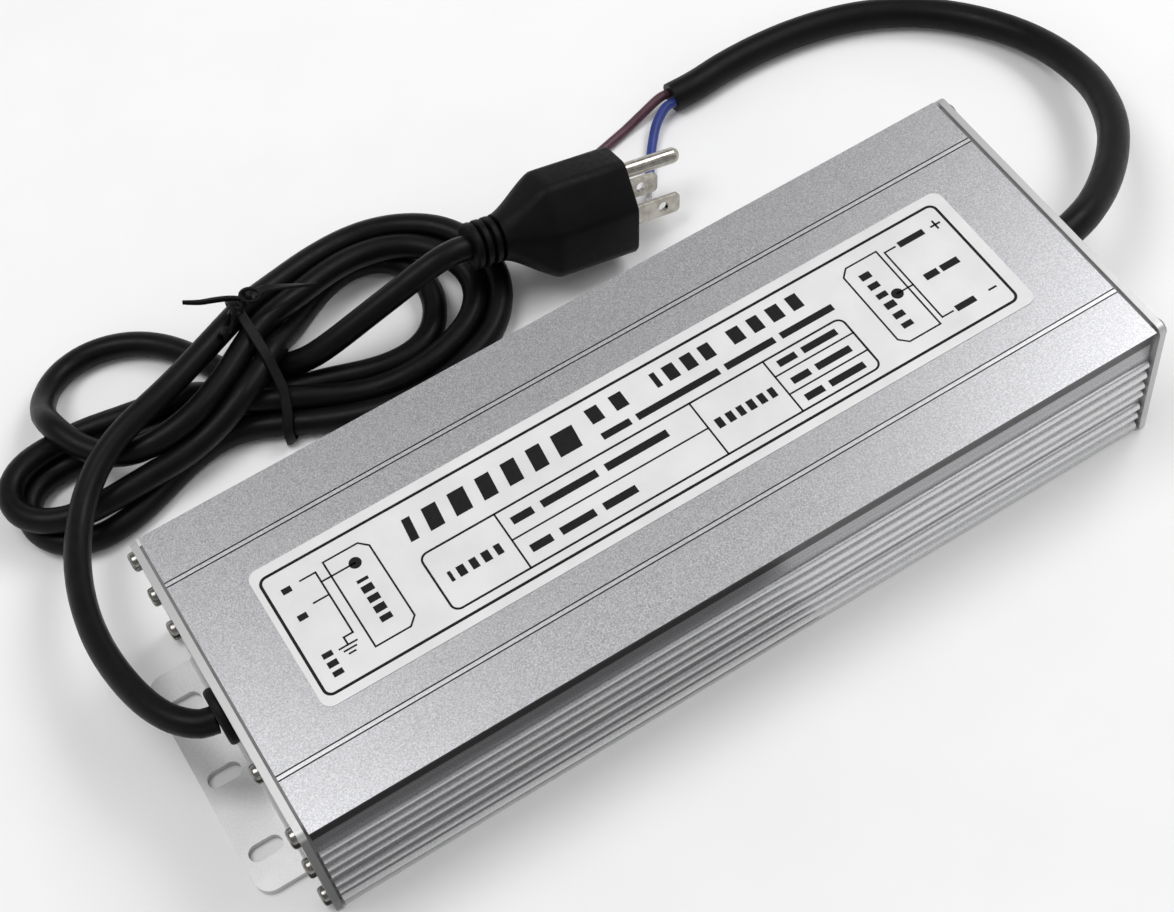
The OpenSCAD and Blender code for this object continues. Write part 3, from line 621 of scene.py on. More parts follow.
# %% [markdown]
# ## The plug
# A moulded black plug with two flat blades and a round pin. The body is broad at the face, has
# a narrower back towards the pin, and tapers to a ringed collar that guards the lead.
# It could be sculpted, but a moulding is a smooth run of sections, so it is lofted: one outline
# after another, from the recessed face to the last ring.

# %% Plug body
PLUG_LENGTH = 40.5
COLLAR_LENGTH = PLUG_FULL - PLUG_LENGTH
PLUG_ROLL = math.radians(13)
PLUG_SHOULDER = 26.0
COLLAR_RADIUS = 7.0
FACE_DISCS = [
    (-10, -8.5, 4), (10, -8.5, 4), (-9, 2, 5), (9, 2, 5), (-3.5, 11.5, 4), (3.5, 11.5, 4),
]

# Sections as (distance, inset): the recessed face and the body, then one ring of the collar
BODY_SECTIONS = [
    (-0.7, 2.6), (-0.7, 2.2), (0, 1.9), (0, 1.0),
    (-0.3, 0.35), (-1.0, 0), (-13, 0), (1.5 - PLUG_SHOULDER, 0),
]
RING_SECTIONS = [(0.25, 1.7), (1.0, 1.7), (1.15, 0.2), (1.45, 0), (2.75, 0), (3.0, 0.3)]
RINGS, TAPER_STEPS = 3, 14
LAST_STEP, LAST_INSET = 0.3, 1.2

PLUG_PLACE = (
    Matrix.Translation(COLLAR_PLACE)
    @ Matrix.Rotation(-PLUG_YAW, 4, "Z")
    @ Matrix.Rotation(PLUG_PITCH, 4, "Y")
    @ Matrix.Rotation(-PLUG_ROLL, 4, "X")
    @ Matrix.Translation((PLUG_FULL, 0, 0))
)


def plug_loop(x, inset=0.0, taper=0.0):
    """One section of the plug; taper 1 is the round collar."""
    face = hull_outline(FACE_DISCS, inset)
    ring = hull_outline([(0, 0, COLLAR_RADIUS)], inset)
    return [
        PLUG_PLACE @ Vector((x, a * (1 - taper) + c * taper, b * (1 - taper) + d * taper))
        for (a, b), (c, d) in zip(face, ring)
    ]


loops = [plug_loop(x, inset) for x, inset in BODY_SECTIONS]
for part in np.linspace(0.02, 1, TAPER_STEPS):
    ease = part ** 1.25 * (1 - part) + (1 - (1 - part) ** 1.5) * part
    loops.append(plug_loop(-PLUG_SHOULDER - part * (PLUG_LENGTH - PLUG_SHOULDER), 0, ease))
for i in range(RINGS):
    start = -PLUG_LENGTH - i * COLLAR_LENGTH / RINGS
    loops += [plug_loop(start - step, inset, 1) for step, inset in RING_SECTIONS]
loops.append(plug_loop(-PLUG_FULL - LAST_STEP, LAST_INSET, 1))
bm = bmesh.new()
skin(bm, loops)

PLUG_PLASTIC = coated(
    "plug_plastic", (grey(5), grey(9)), (5, 4), (1.4, 3, 0.42, 0.58), (0.45, 2, 0.06, 0.4),
    roughness=0.48, specular=0.12,
)
plug = finish_piece(add_object("plug", bm, PLUG_PLASTIC), "plug_plastic", "plug_body")
print("plug with", len(plug.data.polygons), "faces")

# %% [markdown]
# ## Softened CAD parts
# Sheet metal and extrusions have small rounded edges that catch the light. A Bevel node in the
# material could fake them, but an export would lose that. The CAD solids are sharp, so each
# visible one is copied, its coplanar triangles are merged, and a Bevel modifier with hardened
# normals rounds the edges. The modifier is applied, so the piece is a plain mesh.

# %% Softening helper
WELD_GAP, FLAT_ANGLE = 0.002, 0.6


def baked(rough, name, material):
    """Applies an object's modifiers and puts the plain mesh in its place."""
    view = rough.evaluated_get(bpy.context.evaluated_depsgraph_get())
    mesh = bpy.data.meshes.new_from_object(view)
    mesh.materials.clear()
    mesh.materials.append(material)
    bpy.data.objects.remove(rough)
    return put(name, mesh)


def softened(node, material, slot, width, angle=35):
    """A copy of a CAD node with its edges rounded by width millimetres."""
    bm = bmesh.new()
    bm.from_mesh(nodes[node].data)
    bmesh.ops.remove_doubles(bm, verts=bm.verts, dist=WELD_GAP * MM)
    flat = math.radians(FLAT_ANGLE)
    bmesh.ops.dissolve_limit(bm, angle_limit=flat, verts=bm.verts, edges=bm.edges)
    rough = put(node + "_rough", mesh_from(bm, node + "_soft", angle))
    bevel = rough.modifiers.new("bevel", "BEVEL")
    bevel.limit_method = "ANGLE"
    bevel.angle_limit = math.radians(angle)
    bevel.width = width * MM
    bevel.segments = 2
    bevel.harden_normals = True
    made = finish_piece(baked(rough, node + "_soft", material), slot, node)
    print(node, "softened,", len(made.data.polygons), "faces")
    return made


print("softening helper ready")

# %% [markdown]
# ## The case
# The case is an anodised extrusion: its skin has a fine sparkling grain, and drawing it through
# the die leaves faint streaks along its length. Painted highlights brighten the rib crests and
# groove beads, painted shade darkens the hollows, and the sloped rim and groove walls get painted
# dark reflection and shade.
# The mesh could be split into several materials for that. Masks are simpler: the Object
# coordinate and the True Normal of a point tell where it lies and which way it faces, and a Mix
# node lays one tone over the grain there.

# %% Anodised finish
RIM_FOOT, RIM_TOP = 39.8, 43.6
WALL_FACE, RIB_CREST = 47.3, 48.3
# Middle and half width of the groove beads, and the share of painted highlight on them
BEAD_MIDDLE, BEAD_HALF, BEAD_HIGHLIGHT = 31.7, 0.52, 0.35
# Shares of painted highlight on the rib crests and of painted shade in the hollows between them
CREST_HIGHLIGHT, HOLLOW_SHADE = 0.5, 0.2
DRAWN_SHARE = 0.7

anodised = Finish("anodised_case", metallic=0.9, roughness=0.42)
side = anodised.maths("SUBTRACT", 1, anodised.maths("ABSOLUTE", anodised.facing("Z")))
grain = anodised.noise(0.4, 1.5)
streaks = anodised.noise(0.6, 3, stretch=(0.004, 1, 1))
drawn = anodised.maths("SUBTRACT", anodised.maths("ADD", grain, streaks), 1)
drawn = anodised.both(drawn, side)
speckle = anodised.blend(grain, drawn, DRAWN_SHARE)
anodised.colour(speckle, rgb(160, 160, 163), rgb(218, 218, 221), 0.2, 0.8)

height = anodised.spot("Z")
depth = anodised.maths("ABSOLUTE", anodised.spot("Y"))
wall = anodised.maths("LESS_THAN", height, RIM_FOOT * MM)
# Painted highlight on the rib crests and painted shade in the hollows between the ribs
painted_crest_highlight = anodised.ramp(depth, WALL_FACE * MM, RIB_CREST * MM, 0, CREST_HIGHLIGHT)
painted_hollow_shade = anodised.ramp(depth, WALL_FACE * MM, RIB_CREST * MM, HOLLOW_SHADE, 0)
anodised.cover(anodised.both(wall, painted_crest_highlight), grey(236))
anodised.cover(anodised.both(wall, painted_hollow_shade), grey(84), "MULTIPLY")

upper = anodised.maths("GREATER_THAN", height, RIM_FOOT * MM)
# Painted highlight along the beads in the top grooves
painted_bead_highlight = anodised.maths("COMPARE", depth, BEAD_MIDDLE * MM, BEAD_HALF * MM)
painted_bead_highlight = anodised.both(upper, anodised.both(painted_bead_highlight, BEAD_HIGHLIGHT))
anodised.cover(painted_bead_highlight, grey(240))
# Painted dark reflection and shade on the sloped rim and the walls of the top grooves, then a
# darker painted shade on the outer rim that grows towards the top edge
steep = anodised.both(upper, anodised.maths("GREATER_THAN", side, 0.5))
anodised.cover(steep, grey(74))
outer = anodised.maths("GREATER_THAN", depth, 1.2 * BEAD_MIDDLE * MM)
fade = anodised.ramp(height, RIM_FOOT * MM, RIM_TOP * MM, 0.1, 1)
shade = anodised.both(outer, fade)
anodised.cover(anodised.both(steep, shade), grey(58))
anodised.gloss(grain, 0.3, 0.4)
anodised.relief(grain, 0.03, 0.25)

softened("case_extrusion", anodised.material, "anodised_case", 0.22)

# %% [markdown]
# ## End plates, blades and screw metal
# The end plates are sheet aluminium with a satin face and a foot folded outward. Their edges get
# painted shade, a flat and slightly darker tone, and a mask finds them: a face above the foot that
# doesn't look along the case. The plug's blades are nickel plated, and the screws are steel.
# Brushed metal would need stretched noise. These faces have no direction, so round clouds do.

# %% Plate, nickel and steel
FOOT_BEND = 6.0

satin = Finish("plate_aluminium", metallic=0.8, roughness=0.44)
frost = satin.noise(0.5, 2)
satin.colour(satin.blend(frost, satin.noise(9, 3), 0.6), grey(190), grey(206), 0.6, 1.0)
# Painted shade: the plate edges above the foot get a flat, slightly darker tone, like the shaded
# sides of the case
painted_edge_shade = satin.maths("LESS_THAN", satin.maths("ABSOLUTE", satin.facing("X")), 0.5)
above = satin.maths("GREATER_THAN", satin.spot("Z"), FOOT_BEND * MM)
satin.cover(satin.both(painted_edge_shade, above), grey(188))
satin.gloss(frost, 0.4, 0.5)
satin.relief(frost, 0.02, 0.2)

BRIGHT = {"bumps": (0.3, 2, 0.02, 0.15), "metallic": 1.0, "roughness": 0.2}
nickel_tones = (rgb(158, 154, 146), rgb(190, 186, 178))
NICKEL = coated("nickel", nickel_tones, (2.0, 4), (1.0, 3, 0.13, 0.27), **BRIGHT)
steel_tones = (rgb(118, 116, 112), rgb(150, 148, 144))
STEEL = coated("screw_steel", steel_tones, (1.5, 3), (1.0, 3, 0.14, 0.26), **BRIGHT)

for name in ("input_end_plate", "output_end_plate"):
    softened(name, satin.material, "plate_aluminium", 0.25)
PRONGS = ("line_blade", "neutral_blade", "ground_pin")
blades = [softened(name, NICKEL, "nickel", 0.22) for name in PRONGS]

# %% [markdown]
# ## End screws
# Eight cross-head screws hold each end plate. The cross could be cut with a Boolean modifier.
# Here the head is rings of points that dip where the cross is pressed in, which keeps the mesh
# even and its edges soft, as stamped steel is.

# %% One screw head
HEAD_RADIUS, HEAD_HEIGHT, HEAD_RIM = 2.7, 2.0, 1.1
HEAD_RINGS, HEAD_SPOKES = 14, 48
CROSS_ARM, CROSS_REACH, CROSS_DEPTH, CROSS_SLOPE = 0.42, 1.65, 0.95, 2.2


def screw_head():
    """A pan head on the XY plane with a cross pressed into it, in metres."""
    bm = bmesh.new()
    loops = []
    for k in range(HEAD_RINGS):
        part = 1 - k / HEAD_RINGS
        loop = []
        for x, y in circle(HEAD_SPOKES):
            x, y = part * HEAD_RADIUS * x, part * HEAD_RADIUS * y
            z = HEAD_HEIGHT * (0.7 + 0.3 * (1 - part ** 5)) if k else HEAD_RIM
            arm = max(0.0, 1 - min(abs(x), abs(y)) / CROSS_ARM)
            reach = max(0.0, 1 - (max(abs(x), abs(y)) / CROSS_REACH) ** 4)
            loop.append((x, y, z - CROSS_DEPTH * min(1.0, CROSS_SLOPE * arm) * reach))
        loops.append(loop)
    loops.insert(0, [(x, y, 0) for x, y, z in loops[0]])
    skin(bm, loops)
    return add_object("screw_head", bm, STEEL, 40)


print("a head of", (HEAD_RINGS + 1) * HEAD_SPOKES, "points")

# %% [markdown]
# ## A node tree for the screws
# Copies could be placed in a Python loop. A Geometry Nodes tree shows at a glance how they are
# spread, and it is changed by its inputs: the head, the way that the plate faces and the metal.
# Each copy gets its own spin, as a screwdriver leaves it, from a fixed seed.

# %% Node tree for the screws
def screw_tree():
    """Geometry Nodes: a head on each point, turned to the plate and spun at random."""
    tree = bpy.data.node_groups.new("end_screws", "GeometryNodeTree")
    for name, way, kind in (
        ("Geometry", "OUTPUT", "Geometry"), ("Geometry", "INPUT", "Geometry"),
        ("Head", "INPUT", "Object"), ("Facing", "INPUT", "Rotation"),
        ("Metal", "INPUT", "Material"),
    ):
        tree.interface.new_socket(name, in_out=way, socket_type="NodeSocket" + kind)
    add = tree.nodes.new
    entry, leave = add("NodeGroupInput"), add("NodeGroupOutput")
    head, spin = add("GeometryNodeObjectInfo"), add("FunctionNodeRandomValue")
    euler, turned = add("ShaderNodeCombineXYZ"), add("FunctionNodeEulerToRotation")
    joined, copies = add("FunctionNodeRotateRotation"), add("GeometryNodeInstanceOnPoints")
    real, paint = add("GeometryNodeRealizeInstances"), add("GeometryNodeSetMaterial")
    joined.rotation_space = "LOCAL"
    spin.inputs["Max"].default_value = math.pi / 2
    spin.inputs["Seed"].default_value = 4
    for source, output, target, socket in (
        (entry, "Head", head, "Object"), (spin, "Value", euler, "Z"), (euler, 0, turned, 0),
        (entry, "Facing", joined, "Rotation"), (turned, 0, joined, "Rotate By"),
        (entry, "Geometry", copies, "Points"), (head, "Geometry", copies, "Instance"),
        (joined, 0, copies, "Rotation"), (copies, 0, real, 0), (real, 0, paint, "Geometry"),
        (entry, "Metal", paint, "Material"), (paint, 0, leave, 0),
    ):
        tree.links.new(source.outputs[output], target.inputs[socket])
    return tree


print("screw tree ready")

# %% [markdown]
# ## Screws on both plates
# The screw places are the points of a bare mesh, and the modifier puts a head on each. The tree
# ends in Realize Instances, so the result is real mesh, and it is kept as one piece for each end
# because nobody takes out one screw alone.

# %% Screws on both plates
SCREW_PLACES = [(side * 45.3, z) for side in (-1, 1) for z in (4.2, 23.25, 42.3)]
SCREW_PLACES += [(-23.7, 38.7), (23.7, 38.7)]
PLATE_FACE = 128.0


def screws_on(side, name, node):
    """All screws of one end plate, as one piece."""
    points = bpy.data.meshes.new(name)
    places = [Vector((side * PLATE_FACE, y, z)) * MM for y, z in SCREW_PLACES]
    points.from_pydata(places, [], [])
    rough = put(name + "_points", points)
    head = screw_head()
    modifier = rough.modifiers.new("screws", "NODES")
    tree = screw_tree()
    modifier.node_group = tree
    values = {"Head": head, "Facing": (0, side * math.pi / 2, 0), "Metal": STEEL}
    for item in tree.interface.items_tree:
        if item.in_out == "INPUT" and item.name in values:
            modifier[item.identifier] = values[item.name]
    made = baked(rough, name, STEEL)
    bpy.data.objects.remove(head)
    return finish_piece(made, "nickel", node)


for side, end in ((-1, "input"), (1, "output")):
    made = screws_on(side, end + "_screws", end + "_end_screws")
    print(made.name, len(made.data.polygons), "faces")

# %% [markdown]
# ## Cord grommets
# Soft rubber collars seal the cord holes. Each is a lathe shape: a profile of (distance, radius)
# points turned about the cord's line, with a flange on the plate and a short lip that hugs the
# lead. A screw modifier could turn it; the loop skin does the same with fewer steps.

# %% Grommets
ENTRY_HEIGHT = 30.0
GROMMET_SPOKES = 48
BORE_GAP = 0.15
BLACK_RUBBER = moulded("black_rubber", grey(9), grey(15), 0.5, 0.55, depth=0.05, specular=0.15)


def grommet(name, side, node, cord_radius):
    """One collar; its profile is closed, so it has a bore for the lead."""
    bore = cord_radius + BORE_GAP
    profile = [
        (125.3, bore), (125.3, 6.4), (125.9, 6.5), (128.0, 6.5), (128.02, 7.7), (128.4, 8.0),
        (129.3, 8.0), (130.0, 7.75), (130.4, 7.3), (130.5, 6.6), (130.5, bore + 1.2),
        (130.3, bore + 0.5), (130.0, bore),
    ]
    bm = bmesh.new()
    rows = []
    for x, radius in profile:
        ring = [(radius * y, ENTRY_HEIGHT + radius * z) for y, z in circle(GROMMET_SPOKES)]
        rows.append([bm.verts.new((side * x, y, z)) for y, z in ring])
    bridge(bm, rows, True)
    return finish_piece(add_object(name, bm, BLACK_RUBBER, 40), "black_rubber", node)


grommet("input_collar", -1, "input_grommet", MAINS_DIAMETER / 2)
grommet("output_collar", 1, "output_grommet", OUTPUT_DIAMETER / 2)
print("2 grommets")

# %% [markdown]
# ## The twist tie
# A flat black strip holds the bundle. A curve with a flat bevel could make it, but it rolls as it
# turns. So the strip is rows of points, each laid across it in a direction that is given.

# %% A flat strip
TIE_WIDTH, TIE_HALF, TIE_EDGE = 3.0, 0.45, 0.15


def ribbon(bm, line, across, close, tip=1.0):
    """A flat strip along line; across is the direction of its width, tip its share at the end."""
    count = len(line)
    rows = []
    for i in range(count):
        before = line[(i - 1) % count] if close or i else line[i]
        after = line[(i + 1) % count] if close or i < count - 1 else line[i]
        ahead = (after - before).normalized()
        wide = (across[i] - across[i].dot(ahead) * ahead).normalized()
        thick = ahead.cross(wide)
        half = TIE_WIDTH / 2 * (1 + (tip - 1) * i / (count - 1))
        section = [(part * half, TIE_HALF) for part in (0.8, 0.3, -0.3, -0.8)]
        section = [(half, TIE_EDGE), *section, (-half, TIE_EDGE)]
        section += [(a, -b) for a, b in reversed(section)]
        rows.append([bm.verts.new(line[i] + wide * a + thick * b) for a, b in section])
    bridge(bm, rows, close)
    if not close:
        bm.faces.new(rows[0])
        bm.faces.new(rows[-1])


print("strip helper ready")

# %% [markdown]
# ## Round the bundle
# The strip lies tight round the strands like a rubber band. Its loop could be drawn by hand, but
# it would cut into some strand. It is found as a band finds it: the strands are cut by a plane
# at the waist, every cut is a disc, and the outline stretched round the discs is the path.

# %% Strip round the bundle
WAIST_Y = [83, 86.5, 92, 100, 117]
WAIST_X = [-73.5, -71, -68.5, -68, -68.5]
MOST_SLANT = 1.25
BAND_POINTS, BAND_STEP = 120, 2.0
BAND_GAP, BAND_FLOOR = 0.1, 0.05
KNOT_X, KNOT_Y, KNOT_LIFT = -68.5, 115.5, 1.0
KNOT_NEAR, KNOT_FAR = 108, 122


def waist_x(y):
    """Where the strip crosses the bundle; it wanders a little along it."""
    return float(np.interp(y, WAIST_Y, WAIST_X))


def past_waist(point):
    return point[0] - waist_x(point[1])


cuts = []
for a, b in zip(mains_fine, mains_fine[1:]):
    if past_waist(a) * past_waist(b) < 0:
        part = past_waist(a) / (past_waist(a) - past_waist(b))
        y, z = a[1:] + part * (b[1:] - a[1:])
        slant = np.linalg.norm(b - a) / abs(b[0] - a[0])
        cuts.append((y, z, MAINS_DIAMETER / 2 * min(slant, MOST_SLANT)))
band = hull_outline(cuts, -TIE_HALF - BAND_GAP, BAND_POINTS)
band = [(0, y, max(z, TIE_HALF + BAND_FLOOR)) for y, z in band + band[:1]]
band = even_steps(np.array(band), BAND_STEP)[:-1]
band = [Vector((waist_x(y), y, z)) for _, y, z in band]
bm = bmesh.new()
ribbon(bm, band, [Vector((1, 0, 0))] * len(band), True)
knot_top = max(p.z for p in band if KNOT_NEAR < p.y < KNOT_FAR)
knot = Vector((KNOT_X, KNOT_Y, knot_top + KNOT_LIFT))
print("waist cuts", len(cuts), "knot at", [round(v, 1) for v in knot])

# %% [markdown]
# ## Knot and ends of the tie
# The two ends are twisted together on top and stand off. A cloth run would never tie that knot,
# so its shape is given: a short coil, an eye and two tapered tails, all from the strip helper.

# %% Knot and ends of the tie
TAILS = [
    ([(3, 1, 1.6), (0, 2.6, 2.6), (-4, 4.6, 2.8), (-8.5, 7, 2.4), (-12.5, 9.6, 2.6)], -1.1),
    ([(6, 0.6, 2.2), (9, 0, 2.8), (12, -0.8, 2.2), (16, -1.6, 0.6), (20, -2.2, -1.4),
      (23.5, -2.4, -3.2)], 0.2),
]
TAIL_STEP, TAIL_ROLL, TAIL_TIP = 1.0, 0.05, 0.4
TWIST_POINTS, TWIST_TURN = 30, 0.6
TWIST_FROM, TWIST_STRIDE = (-8, -5, 0.9), (0.45, 0.3)
TWIST_WIDE, TWIST_TALL = 1.2, 1.9
DIP_POINTS, DIP_STEP = 12, 0.3
EYE_POINTS, EYE_LONG, EYE_SHORT = 20, 2.9, 1.9
EYE_MIDDLE = Vector((5, 1, 2))
EYE_WIDE, EYE_TALL = Vector((0.85, -0.5, -0.1)), Vector((0.5, 0.7, 0.5))
EYE_AXIS = Vector((-0.2, -0.5, 0.85))

for tail, tilt in TAILS:
    line = [Vector(p) for p in smooth_route([knot + Vector(p) for p in tail], TAIL_STEP)]
    angles = [tilt - i * TAIL_ROLL for i in range(len(line))]
    roll = [Vector((0, math.cos(angle), math.sin(angle))) for angle in angles]
    ribbon(bm, line, roll, False, TAIL_TIP)
twist = []
for i in range(TWIST_POINTS):
    angle, dip = i * TWIST_TURN, DIP_STEP * max(0, DIP_POINTS - i)
    x = TWIST_STRIDE[0] * i + TWIST_FROM[0] + TWIST_WIDE * math.cos(angle)
    y = TWIST_STRIDE[1] * i + TWIST_FROM[1]
    z = TWIST_FROM[2] - dip + TWIST_TALL * math.sin(angle)
    twist.append(knot + Vector((x, y, z)))
ribbon(bm, twist, [Vector((0.7, 0.7, 0))] * len(twist), False)
eye = []
for a, b in circle(EYE_POINTS):
    eye.append(knot + EYE_MIDDLE + EYE_WIDE * EYE_LONG * a + EYE_TALL * EYE_SHORT * b)
ribbon(bm, eye, [EYE_AXIS] * len(eye), True)
TIE_PLASTIC = moulded("tie_plastic", grey(14), grey(22), 0.6, 0.42, specular=0.15)
tie = finish_piece(add_object("twist_tie", bm, TIE_PLASTIC, 40), "tie_plastic", "cord_tie")
print("twist tie with", len(tie.data.polygons), "faces")

# %% [markdown]
# ## The label
# A large pale film is stuck on the top of the case. A flat plane would do for its face, but even
# a film as thin as paper catches a line of light on its edge, so the CAD plate is softened like
# the metal parts.

# %% Label film
LABEL_FILM = coated(
    "label_film", (grey(213), grey(222)), (14, 4), (4, 3, 0.36, 0.48), (3, 3, 0.03, 0.15),
    roughness=0.42,
)
softened("rating_label", LABEL_FILM, "label_film", 0.1)

# %% [markdown]
# ## The print
# The film carries plain bars and simple symbols: wires, a connection dot, an earth sign, plus
# and minus. An image texture could hold all of this. Here each mark is a thin raised polygon,
# as ink is, so it stays sharp at any distance. A few helpers draw them on one mesh.

# %% Helpers for printed marks
LABEL_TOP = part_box("rating_label")[1].z / MM
INK_HEIGHT, INK_SUNK = 0.04, 0.02
DOT_POINTS = 28
CORNER_STEPS = 6
ink = bmesh.new()


def fill(points):
    """One printed patch with the given outline."""
    low = [ink.verts.new((x, y, LABEL_TOP - INK_SUNK)) for x, y in points]
    high = [ink.verts.new((x, y, LABEL_TOP + INK_HEIGHT)) for x, y in points]
    ink.faces.new(high)
    ink.faces.new(low)
    bridge(ink, [low, high])


def bar(x0, y0, x1, y1):
    fill([(x0, y0), (x1, y0), (x1, y1), (x0, y1)])


def stroke(x0, y0, x1, y1, width=0.5):
    """A straight line with square ends."""
    along = Vector((x1 - x0, y1 - y0)).normalized() * width / 2
    side = Vector((-along.y, along.x))
    a, b = Vector((x0, y0)) - along, Vector((x1, y1)) + along
    fill([a - side, b - side, b + side, a + side])


def border(outline, width):
    """A closed line of even width along an outline."""
    count = len(outline)
    inner = []
    for i in range(count):
        before, here, after = (Vector(outline[(i + k) % count]) for k in (-1, 0, 1))
        a, b = (here - before).normalized(), (after - here).normalized()
        side = (Vector((-a.y, a.x)) + Vector((-b.y, b.x))).normalized()
        inner.append(here + side * width / max(0.3, side.dot(Vector((-a.y, a.x)))))
    for i in range(count):
        j = (i + 1) % count
        fill([outline[i], outline[j], inner[j], inner[i]])


def rounded(x0, y0, x1, y1, corner):
    """The outline of a rectangle with round corners."""
    outline = []
    for cx, cy, first in ((x1 - corner, y0 + corner, -90), (x1 - corner, y1 - corner, 0),
                          (x0 + corner, y1 - corner, 90), (x0 + corner, y0 + corner, 180)):
        for k in range(CORNER_STEPS + 1):
            angle = math.radians(first + 90 * k / CORNER_STEPS)
            outline.append((cx + corner * math.cos(angle), cy + corner * math.sin(angle)))
    return outline


def dot(x, y, radius):
    """A filled disc."""
    fill([(x + radius * a, y + radius * b) for a, b in circle(DOT_POINTS)])


def bars(x, y, height, lengths, gap, lean=0.0):
    """A row of plain bars, one for each length."""
    for length in lengths:
        fill([(x, y), (x + length, y), (x + length + lean, y + height), (x + lean, y + height)])
        x += length + gap


def upright(x, y, width, lengths, gap):
    """A row of plain bars that runs down the label."""
    for length in lengths:
        bar(x, y - length, x + width, y)
        y -= length + gap


print("label top at", round(LABEL_TOP, 2), "mm")

# %% [markdown]
# ## Marks on the label
# The frame and the input diagram come first, then the title bars and the table, then the output
# diagram and the ink. A drawing could be imported from another program. Typed places, in
# millimetres from the middle of the case, keep the script whole.

# %% Frame and input diagram
border(rounded(-105.3, -19.9, 103.5, 19.5, 2.5), 0.8)
INPUT_BOX = [
    (-88.8, -14.2), (-78.4, -14.2), (-76, -11.8), (-76, 12.5), (-78.4, 14.9), (-88.8, 14.9),
]
border(INPUT_BOX, 0.5)
dot(-81.7, 9.9, 1.7)
for wire in (
    (-91.4, 9.9, -81.7, 9.9), (-91.4, -7.2, -91.4, 13.2), (-95.8, 13.2, -91.4, 13.2),
    (-95.8, 5.6, -91.4, 5.6), (-91.4, -7.2, -94, -7.2), (-94, -7.2, -94, -9.6),
):
    stroke(*wire)
# Earth sign
for half, drop in ((2.4, 9.6), (1.6, 10.8), (0.8, 12.0)):
    stroke(-94 - half, -drop, -94 + half, -drop)
upright(-84.0, 5.0, 3.2, [1.0, 2.2, 2.0, 2.2, 1.8], 1.2)
upright(-101.2, 13.6, 2.6, [1.8], 1)
upright(-101.2, 4.6, 2.6, [1.8], 1)
upright(-101.0, -8.4, 2.8, [1.6, 1.8, 1.6], 1.2)
print("frame and input diagram,", len(ink.faces), "faces")

# %% Title bars and table
bars(-66.9, 7.0, 7.2, [2.4, 4.2, 4.8, 4.2, 4.2, 4.2, 6.6], 3.4, 0.8)
bars(-10.4, 10.9, 5.0, [3.8, 3.8], 3.6)
bars(9.6, 10.9, 5.0, [1.6, 3.4, 3.4, 3.4], 2.2)
bars(33.6, 10.9, 5.0, [3.8, 3.4, 3.8, 3.4], 2.6)
bars(-10.4, 5.2, 2.2, [8.6, 25.4, 15.4, 16.6], 2.0)
border(rounded(-67.7, -16.9, 61.5, 2.5, 2.5), 0.6)
for x in (-45.4, 13.6, 36.5):
    stroke(x, -16.6, x, 2.2)
stroke(-45.4, -7.0, 13.6, -7.0)
stroke(36.5, -3.7, 61.2, -3.7)
stroke(36.5, -10.3, 61.2, -10.3)
bars(-63.8, -8.9, 3.2, [1.0, 2.2, 2.0, 2.2, 1.8], 1.5)
bars(-42.6, -3.4, 2.4, [6.2, 16.6, 18.8], 2.6)
bars(-42.6, -13.1, 2.4, [6.2, 10.2, 9.8], 2.6)
bars(16.0, -8.9, 3.2, [2.0, 2.0, 1.8, 2.0, 2.0, 1.8], 1.3)
for y in (-1.9, -8.4, -14.7):
    bars(39.4, y, 2.2, [5.6, 10.8], 2.0)
print("title and table,", len(ink.faces), "faces")

# %% Output diagram
OUTPUT_BOX = [
    (69.1, -12.3), (71.5, -14.7), (81.7, -14.7), (81.7, 14.9), (71.5, 14.9), (69.1, 12.5),
]
SIGN_WIDTH = 0.6
border(OUTPUT_BOX, 0.5)
dot(78.0, 0, 1.7)
stroke(78.0, 0, 83.1, 0)
stroke(83.1, -13, 83.1, 13)
for y in (13, -13):
    stroke(83.1, y, 86.5, y)
upright(72.8, 10.6, 3.2, [2.2, 2.0, 1.8, 2.2, 2.0, 1.8], 1.8)
bars(87.6, 11.9, 2.0, [8.2], 1)
bars(87.0, -1.1, 2.2, [4.2, 5.6], 1)
bars(87.6, -13.9, 2.0, [6.2], 1)
# Plus and minus
stroke(98.4, 12.9, 101.0, 12.9, SIGN_WIDTH)
stroke(99.7, 11.6, 99.7, 14.2, SIGN_WIDTH)
stroke(98.4, -12.9, 100.4, -12.9, SIGN_WIDTH)
print("output diagram,", len(ink.faces), "faces")

# %% Ink
LABEL_INK = coated(
    "label_ink", (grey(10), grey(18)), (1.2, 3), (2, 2, 0.44, 0.56), (0.3, 2, 0.01, 0.2),
    roughness=0.5, specular=0.2,
)
label_print = finish_piece(add_object("label_print", ink, LABEL_INK), "chip_epoxy")
print("label printed,", len(label_print.data.polygons), "faces")

# %% [markdown]
# ## Pieces that keep their CAD shape
# Gaskets, wire ends and everything inside the sealed case have the right shape already, so they
# only get materials. Windings show their turns as fine stripes, tape and sleeves have a soft
# sheen, and boards and potting are mottled.

# %% Materials for the remaining nodes
def wound(name, dark, light, pitch, metallic, roughness, turn=(0, 0, 0), direction="X"):
    """Wire turns: stripes of one wire's pitch, in colour and in relief."""
    made = Finish(name, metallic, roughness)
    turns = made.stripes(pitch, direction, turn)
    made.colour(turns, dark, light, 0.1, 0.9)
    made.gloss(made.noise(1.0, 2), roughness - 0.05, roughness + 0.08)
    made.relief(turns, pitch * 0.4, 0.8)
    return made.material


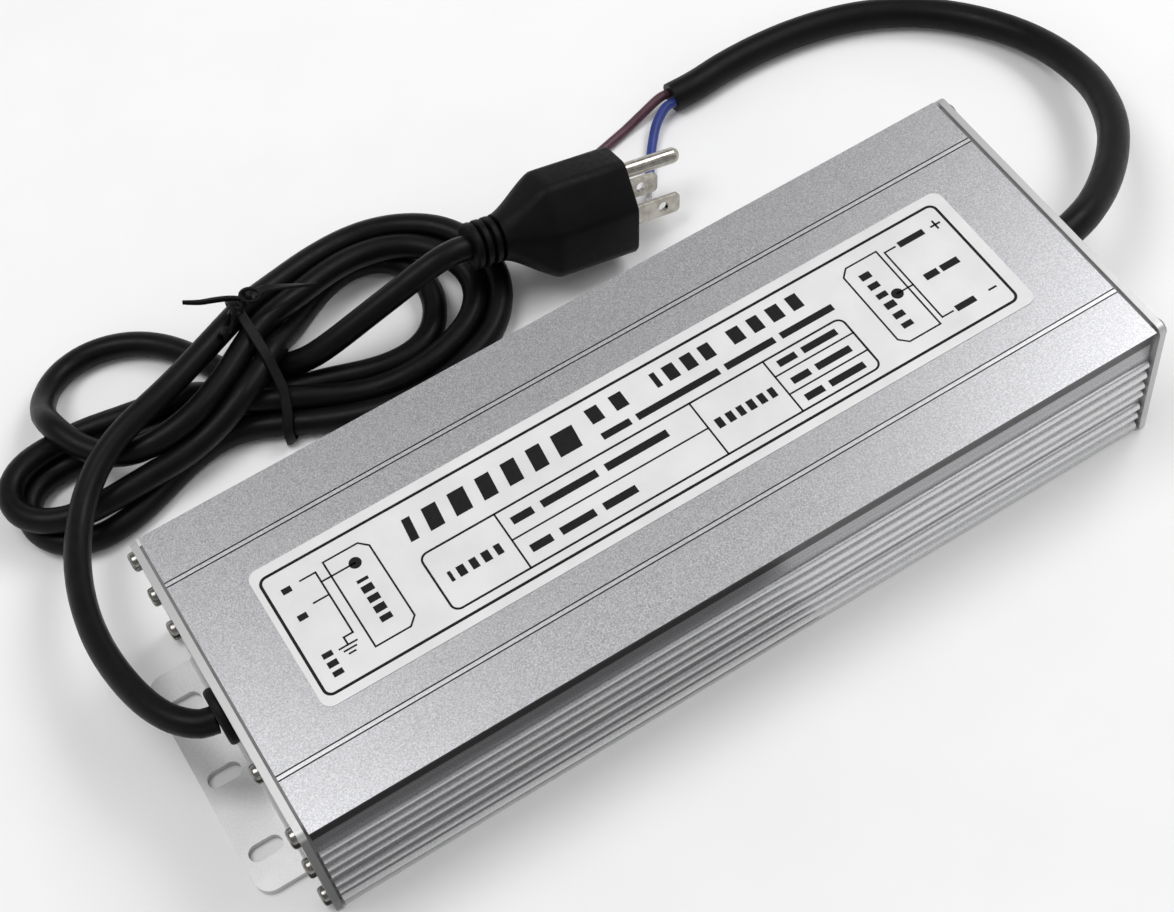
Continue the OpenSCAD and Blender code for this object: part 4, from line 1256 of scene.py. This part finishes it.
# Dark and light tone, grain, roughness and for one of them the share of metal
PLAIN = {
    "grey_rubber": (grey(100), grey(114), 0.5, 0.6),
    "board_laminate": (rgb(24, 78, 44), rgb(34, 96, 54), 0.5, 0.4),
    "insulator": (rgb(196, 186, 150), rgb(210, 202, 170), 0.6, 0.45),
    "potting": (grey(34), grey(52), 1.2, 0.35),
    "nylon": (grey(214), grey(228), 0.5, 0.45),
    "ceramic": (grey(206), grey(224), 0.4, 0.4),
    "blue_epoxy": (rgb(30, 66, 140), rgb(44, 84, 164), 0.6, 0.35),
    "dark_epoxy": (grey(36), grey(54), 0.6, 0.4),
    "yellow_plastic": (rgb(206, 166, 40), rgb(222, 186, 62), 0.5, 0.4),
    "ferrite": (grey(52), grey(72), 0.4, 0.5),
    "iron_powder": (rgb(66, 84, 58), rgb(86, 104, 74), 0.4, 0.5),
    "capacitor_sleeve": (grey(28), grey(42), 0.5, 0.32),
    "bar_aluminium": (grey(172), grey(200), 0.5, 0.4, 0.9),
    "gap_pad": (rgb(150, 160, 176), rgb(172, 182, 196), 0.5, 0.6),
    "chip_epoxy": (grey(30), grey(44), 0.4, 0.5),
    "white_epoxy": (grey(214), grey(228), 0.5, 0.4),
}
# Dark and light tone, pitch, share of metal, roughness, then the turn and direction of the wires
TURNS = {
    "tinned_copper": (grey(150), grey(215), 0.35, 0.9, 0.3, (0, 0, 0.8)),
    "copper_wire": (rgb(120, 60, 30), rgb(206, 120, 70), 0.9, 0.9, 0.3),
    "yellow_tape": (rgb(196, 160, 50), rgb(224, 192, 84), 2.4, 0.0, 0.4, (0, 0, 0), "Z"),
}
remaining = {
    "anodised_case": anodised.material,
    "plate_aluminium": satin.material,
    "nickel": NICKEL,
    "black_rubber": BLACK_RUBBER,
    "label_film": LABEL_FILM,
    "cord_sheath": CORD_SHEATH,
    "plug_plastic": PLUG_PLASTIC,
    "tie_plastic": TIE_PLASTIC,
    "brown_core": BROWN_CORE,
    "blue_core": BLUE_CORE,
}
for name, values in PLAIN.items():
    remaining[name] = moulded(name, *values)
for name, values in TURNS.items():
    remaining[name] = wound(name, *values)
for entry in frame["record"]["subparts"]:
    mesh = nodes[entry["node"]].data
    mesh.materials.clear()
    mesh.materials.append(remaining[entry["material_slot"]])

# %% Cords
print("4 cords: the mains lead, the low-voltage lead and two cores")
